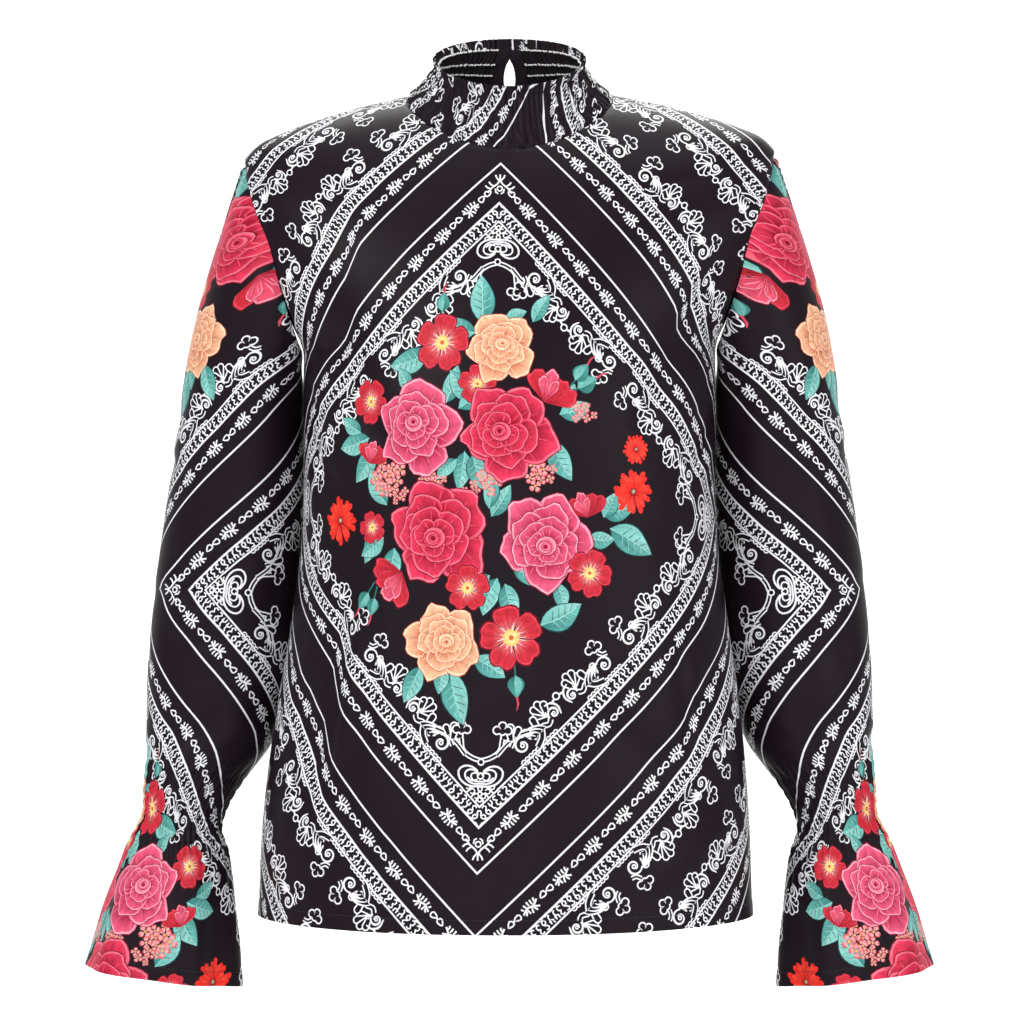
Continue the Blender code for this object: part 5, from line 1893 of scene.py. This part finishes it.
def satin(name, colour=None):
    """Satin. With no colour it takes the print's, and varies it as a brush does."""
    material, tree, shader = new_material(name)
    cut = node(tree, "ShaderNodeUVMap", uv_map="cut").outputs[0]
    cloud = noise_node(tree, scaled(tree, cut, 22.0, 14.0), 1.0, 3.0)
    thread = noise_node(tree, scaled(tree, cut, 1500.0, 160.0), 1.0, 2.0)
    vary = math_node(tree, "MULTIPLY_ADD", cloud, 0.22, 0.78)
    vary = math_node(tree, "MULTIPLY_ADD", thread, 0.22, vary)
    if colour is None:
        ink = node(tree, "ShaderNodeAttribute", attribute_name="ink")
        marks = node(tree, "ShaderNodeAttribute", attribute_name="marks").outputs["Vector"]
        streak = noise_node(tree, scaled(tree, marks, 5.5, 1.3, 1.0), 1.0, 3.0, 0.6)
        blot = noise_node(tree, scaled(tree, cut, 260.0, 260.0), 1.0, 3.0, 0.65)
        brush = math_node(tree, "MULTIPLY_ADD", streak, 1.1, -0.55)
        brush = math_node(tree, "ADD", brush, math_node(tree, "MULTIPLY_ADD", blot, 0.7, -0.35))
        brush = math_node(tree, "MULTIPLY_ADD", brush, ink.outputs["Alpha"], 1.0)
        vary = math_node(tree, "MULTIPLY", vary, brush)
        base = ink.outputs["Color"]
    else:
        base = colour_node(tree, colour)
    shade(tree, shader, base, vary)
    rough = math_node(tree, "MULTIPLY_ADD", thread, 0.16, 0.34 if colour is None else 0.45)
    tree.links.new(rough, shader.inputs["Roughness"])
    shader.inputs["Specular IOR Level"].default_value = 0.11
    weave(tree, shader, cut)
    return material


def white_ink():
    """The print's white, which lies on the satin as a slightly duller film."""
    material, tree, shader = new_material("white_print")
    cut = node(tree, "ShaderNodeUVMap", uv_map="cut").outputs[0]
    shader.inputs["Base Color"].default_value = (*INK_WHITE, 1.0)
    thread = noise_node(tree, scaled(tree, cut, 1500.0, 160.0), 1.0, 2.0)
    tree.links.new(math_node(tree, "MULTIPLY_ADD", thread, 0.2, 0.42), shader.inputs["Roughness"])
    weave(tree, shader, cut)
    return material


def thread_material(name, colour, roughness):
    """Thread, with fine oblique strands."""
    material, tree, shader = new_material(name)
    place = node(tree, "ShaderNodeTexCoord").outputs["Object"]
    strands = noise_node(tree, scaled(tree, place, 1500.0, 900.0, 2600.0), 1.0, 2.0)
    level = math_node(tree, "MULTIPLY_ADD", strands, 0.5, 0.72)
    shade(tree, shader, colour_node(tree, colour), level)
    tree.links.new(math_node(tree, "MULTIPLY_ADD", strands, 0.2, roughness - 0.1), shader.inputs["Roughness"])
    shader.inputs["Sheen Weight"].default_value = 0.1
    bump(tree, shader, strands, 0.4, 0.0001)
    return material


def finish_button_and_loop():
    """Gives the two solids that stay as they are their own looks."""
    material, tree, shader = new_material("button_resin")
    place = node(tree, "ShaderNodeTexCoord").outputs["Object"]
    cloud = noise_node(tree, scaled(tree, place, 420.0, 420.0, 420.0), 1.0, 3.0)
    blend(tree, shader, cloud, srgb(14, 11, 14), srgb(32, 26, 32))
    tree.links.new(math_node(tree, "MULTIPLY_ADD", cloud, 0.15, 0.16), shader.inputs["Roughness"])
    looks = {"neck_button": material, "neck_loop": thread_material("loop_thread", srgb(128, 24, 40), 0.5)}
    for name, look in looks.items():
        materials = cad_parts[name].data.materials
        materials.clear()
        materials.append(look)


# ---------------------------------------------------------------- the studio

CAMERA = (0.00195, -3.1, -0.321)
PHOTO_PIXELS = 1024
METRES_PER_PIXEL = 0.00078
SENSOR = 36.0
FLOOR_Z = -0.93
STAGE_REACH = 9.0
WALL_Y = 6.4
WALL_TOP = 7.0
SWEEP = 1.6  # radius of the curve from the floor up to the wall
BLOUSE_MIDDLE = (0.0, 0.0, -0.32)
WALL_FOOT = (0.0, WALL_Y - 0.6, -0.9)
LAMPS = {  # the place, the size in metres, the power in watts and the target of each
    "key": ((-1.9, -2.6, 1.3), 1.7, 50.0, BLOUSE_MIDDLE),
    "fill": ((2.3, -2.2, 0.3), 2.0, 27.0, BLOUSE_MIDDLE),
    "top": ((0.2, -0.4, 2.4), 1.6, 20.0, BLOUSE_MIDDLE),
    "low": ((0.0, -2.4, -0.7), 1.4, 8.0, BLOUSE_MIDDLE),
    "behind": ((0.4, 2.6, 1.6), 2.0, 24.0, BLOUSE_MIDDLE),
    "wall": ((0.0, 2.6, 3.0), 2.8, 230.0, WALL_FOOT),
}


def photo_camera():
    """The photo's view: level, and straight at the front."""
    camera = add_object("camera", bpy.data.cameras.new("camera"))
    camera.location = CAMERA
    camera.rotation_euler = (math.pi / 2, 0.0, 0.0)
    camera.data.sensor_width = SENSOR
    camera.data.lens = SENSOR * -CAMERA[1] / (PHOTO_PIXELS * METRES_PER_PIXEL)
    bpy.context.scene.camera = camera
    bpy.context.scene.view_settings.view_transform = "Standard"


def backdrop():
    """A pale floor that curves up into a wall far behind."""
    sweep = [
        (WALL_Y - SWEEP + SWEEP * math.sin(a), FLOOR_Z + SWEEP * (1 - math.cos(a)))
        for a in np.linspace(0.0, math.pi / 2, 17)
    ]
    side_view = [(-STAGE_REACH, FLOOR_Z), *sweep, (WALL_Y, WALL_TOP)]
    points = [(x, y, z) for y, z in side_view for x in (-STAGE_REACH, STAGE_REACH)]
    faces = [(2 * k, 2 * k + 1, 2 * k + 3, 2 * k + 2) for k in range(len(side_view) - 1)]
    material, tree, shader = new_material("pale_paper")
    place = node(tree, "ShaderNodeNewGeometry").outputs["Position"]
    blend(tree, shader, noise_node(tree, place, 3.0, 3.0), (0.86, 0.86, 0.87), (0.90, 0.90, 0.905))
    shader.inputs["Roughness"].default_value = 0.9
    add_object("backdrop", new_mesh("backdrop", points, faces, [material]))


def lights():
    """Soft lamps round the blouse, one for the wall, and a pale sky."""
    world = bpy.data.worlds.new("studio")
    bpy.context.scene.world = world
    world.use_nodes = True
    background = world.node_tree.nodes["Background"]
    background.inputs["Color"].default_value = (1.0, 1.0, 1.0, 1.0)
    background.inputs["Strength"].default_value = 0.45

    for name, (place, size, power, target) in LAMPS.items():
        data = bpy.data.lights.new(name, "AREA")
        data.shape = "SQUARE"
        data.size = size
        data.energy = power
        lamp = add_object(name, data)
        lamp.location = place
        lamp.rotation_euler = (Vector(target) - Vector(place)).to_track_quat("-Z", "Y").to_euler()


# ---------------------------------------------------------------- the blouse

PANELS = (  # name, side, the middle of the print on its cut, and the print's tilt in degrees
    ("front", -1, (-15.0, 318.0), -1.8),
    ("back", 1, (6.0, 330.0), 0.8),
)
PANEL_DETAIL = {"slack": 0.045, "reach": 5.0, "clear": 2.4}  # mm: see triangulate
SLEEVE_DETAIL = {"slack": 0.035, "reach": 3.0, "clear": 1.1}
COLLAR_DETAIL = {"slack": 0.035, "reach": 1.8, "clear": 0.8}
SLEEVE_CORNER_Z = -(587 - 100) * METRES_PER_PIXEL  # where the sleeves' squares have their side corners
COLLAR_TURNED_IN = 7.0  # mm at the top of the collar


def cut_area(cloth):
    """The area of the flat cut, in square metres."""
    return abs(doubled_area(cloth.edge() * MM)) / 2


def strays(points, steps):
    """How far each point of a grid lies from a coarser grid, which keeps every so many rows and columns."""
    full = points
    for axis, step in enumerate(steps):
        count = points.shape[axis]
        knots = np.unique(np.append(np.arange(0, count, step), count - 1))
        at = np.arange(count)
        i = np.clip(np.searchsorted(knots, at, side="right") - 1, 0, len(knots) - 2)
        t = (at - knots[i]) / (knots[i + 1] - knots[i])
        t = t[:, None, None] if axis == 0 else t[None, :, None]
        full = full.take(knots[i], axis) * (1 - t) + full.take(knots[i + 1], axis) * t
    return np.linalg.norm(points - full, axis=-1)


def kept_points(points, steps, slack):
    """A coarse grid of the points, and all of them where it would miss the form by more than the slack."""
    missed = strays(points, steps) > slack
    near = missed.copy()
    for axis in (0, 1):
        for shift in (-1, 1):
            near |= np.roll(missed, shift, axis)
    row = np.arange(points.shape[0])[:, None]
    column = np.arange(points.shape[1])[None, :]
    return near | ((row % steps[0] == 0) & (column % steps[1] == 0))


def prepare(cloth, detail, steps, inner_steps):
    """Chooses which points the two faces of a piece go through, and how finely its print is cut."""
    cloth.keep = kept_points(cloth.points, steps, 0.16 * MM)
    cloth.keep_inner = kept_points(cloth.points, inner_steps, 0.35 * MM)
    cloth.detail = detail


def printed_panel(name, side, middle, tilt, motifs):
    """The front or the back, with its print."""
    cloth = panel(name, side)
    tuck(cloth, ("left", "right", "top"))
    hem(cloth)
    prepare(cloth, PANEL_DETAIL, (2, 2), (3, 3))
    ink = Print(cloth, tucked if side < 0 else None)
    ink.framed(middle, tilt, motifs)
    return cloth, ink


def printed_sleeve(name, mirror, motifs):
    """A sleeve, with its print."""
    cloth = sleeve(name, mirror)
    tuck(cloth, ("left", "right", "top"))
    hem(cloth)
    prepare(cloth, SLEEVE_DETAIL, (2, 2), (3, 3))
    middle = cloth.u.shape[1] // 2
    corner_v = np.interp(SLEEVE_CORNER_Z, cloth.points[:, middle, 2], cloth.v[:, middle])
    ink = Print(cloth)
    ink.lattice((0.0, corner_v + REPEAT / math.sqrt(2.0)), 0.0, motifs, mirror)
    return cloth, ink


def printed_collar(motifs):
    """The collar, with the frames of the print alone."""
    cloth = collar()
    tuck(cloth, ("bottom",), 1.0, 1.2)
    prepare(cloth, COLLAR_DETAIL, (1, 1), (1, 1))
    ink = Print(cloth, as_gathered)
    ink.framed((COLLAR_APEX[0], COLLAR_APEX[1] - FRAMES[0][0] * math.sqrt(2.0)), 0.0, motifs, False)
    return cloth, ink


def main():
    materials = (satin("printed_satin"), white_ink(), satin("satin_inside", srgb(30, 24, 30)))
    black_thread = thread_material("black_thread", srgb(20, 15, 19), 0.45)
    white_thread = thread_material("elastic_thread", srgb(253, 253, 254), 0.6)
    finish_button_and_loop()
    motifs = {"side": half_side(HALF_SIDE, 1), "corner": corner_piece(), "flowers": bouquet()}
    motifs["frames"] = [half_side(half, facing) for half, facing in FRAMES]
    pieces = [printed_panel(*row, motifs) for row in PANELS]
    pieces += [printed_sleeve("sleeve_left", 1.0, motifs), printed_sleeve("sleeve_right", -1.0, motifs)]
    pieces.append(printed_collar(motifs))

    for cloth, ink in pieces:
        node_name = cloth.name
        cloth.name = node_name + "_cloth"
        turned_in = cloth.v[-1, 0] - COLLAR_TURNED_IN if node_name == "collar" else None
        piece = cloth_object(cloth, ink, materials, turned_in)
        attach(piece, "root")
        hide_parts(node_name)
        cut_area(cloth)

    for cloth, _ in pieces[:-1]:
        hem_stitches(cloth, black_thread)
    stand = pieces[-1][0]
    elastic(stand, white_thread)
    keyhole_binding(stand, materials[INSIDE])

    photo_camera()
    backdrop()
    lights()


main()
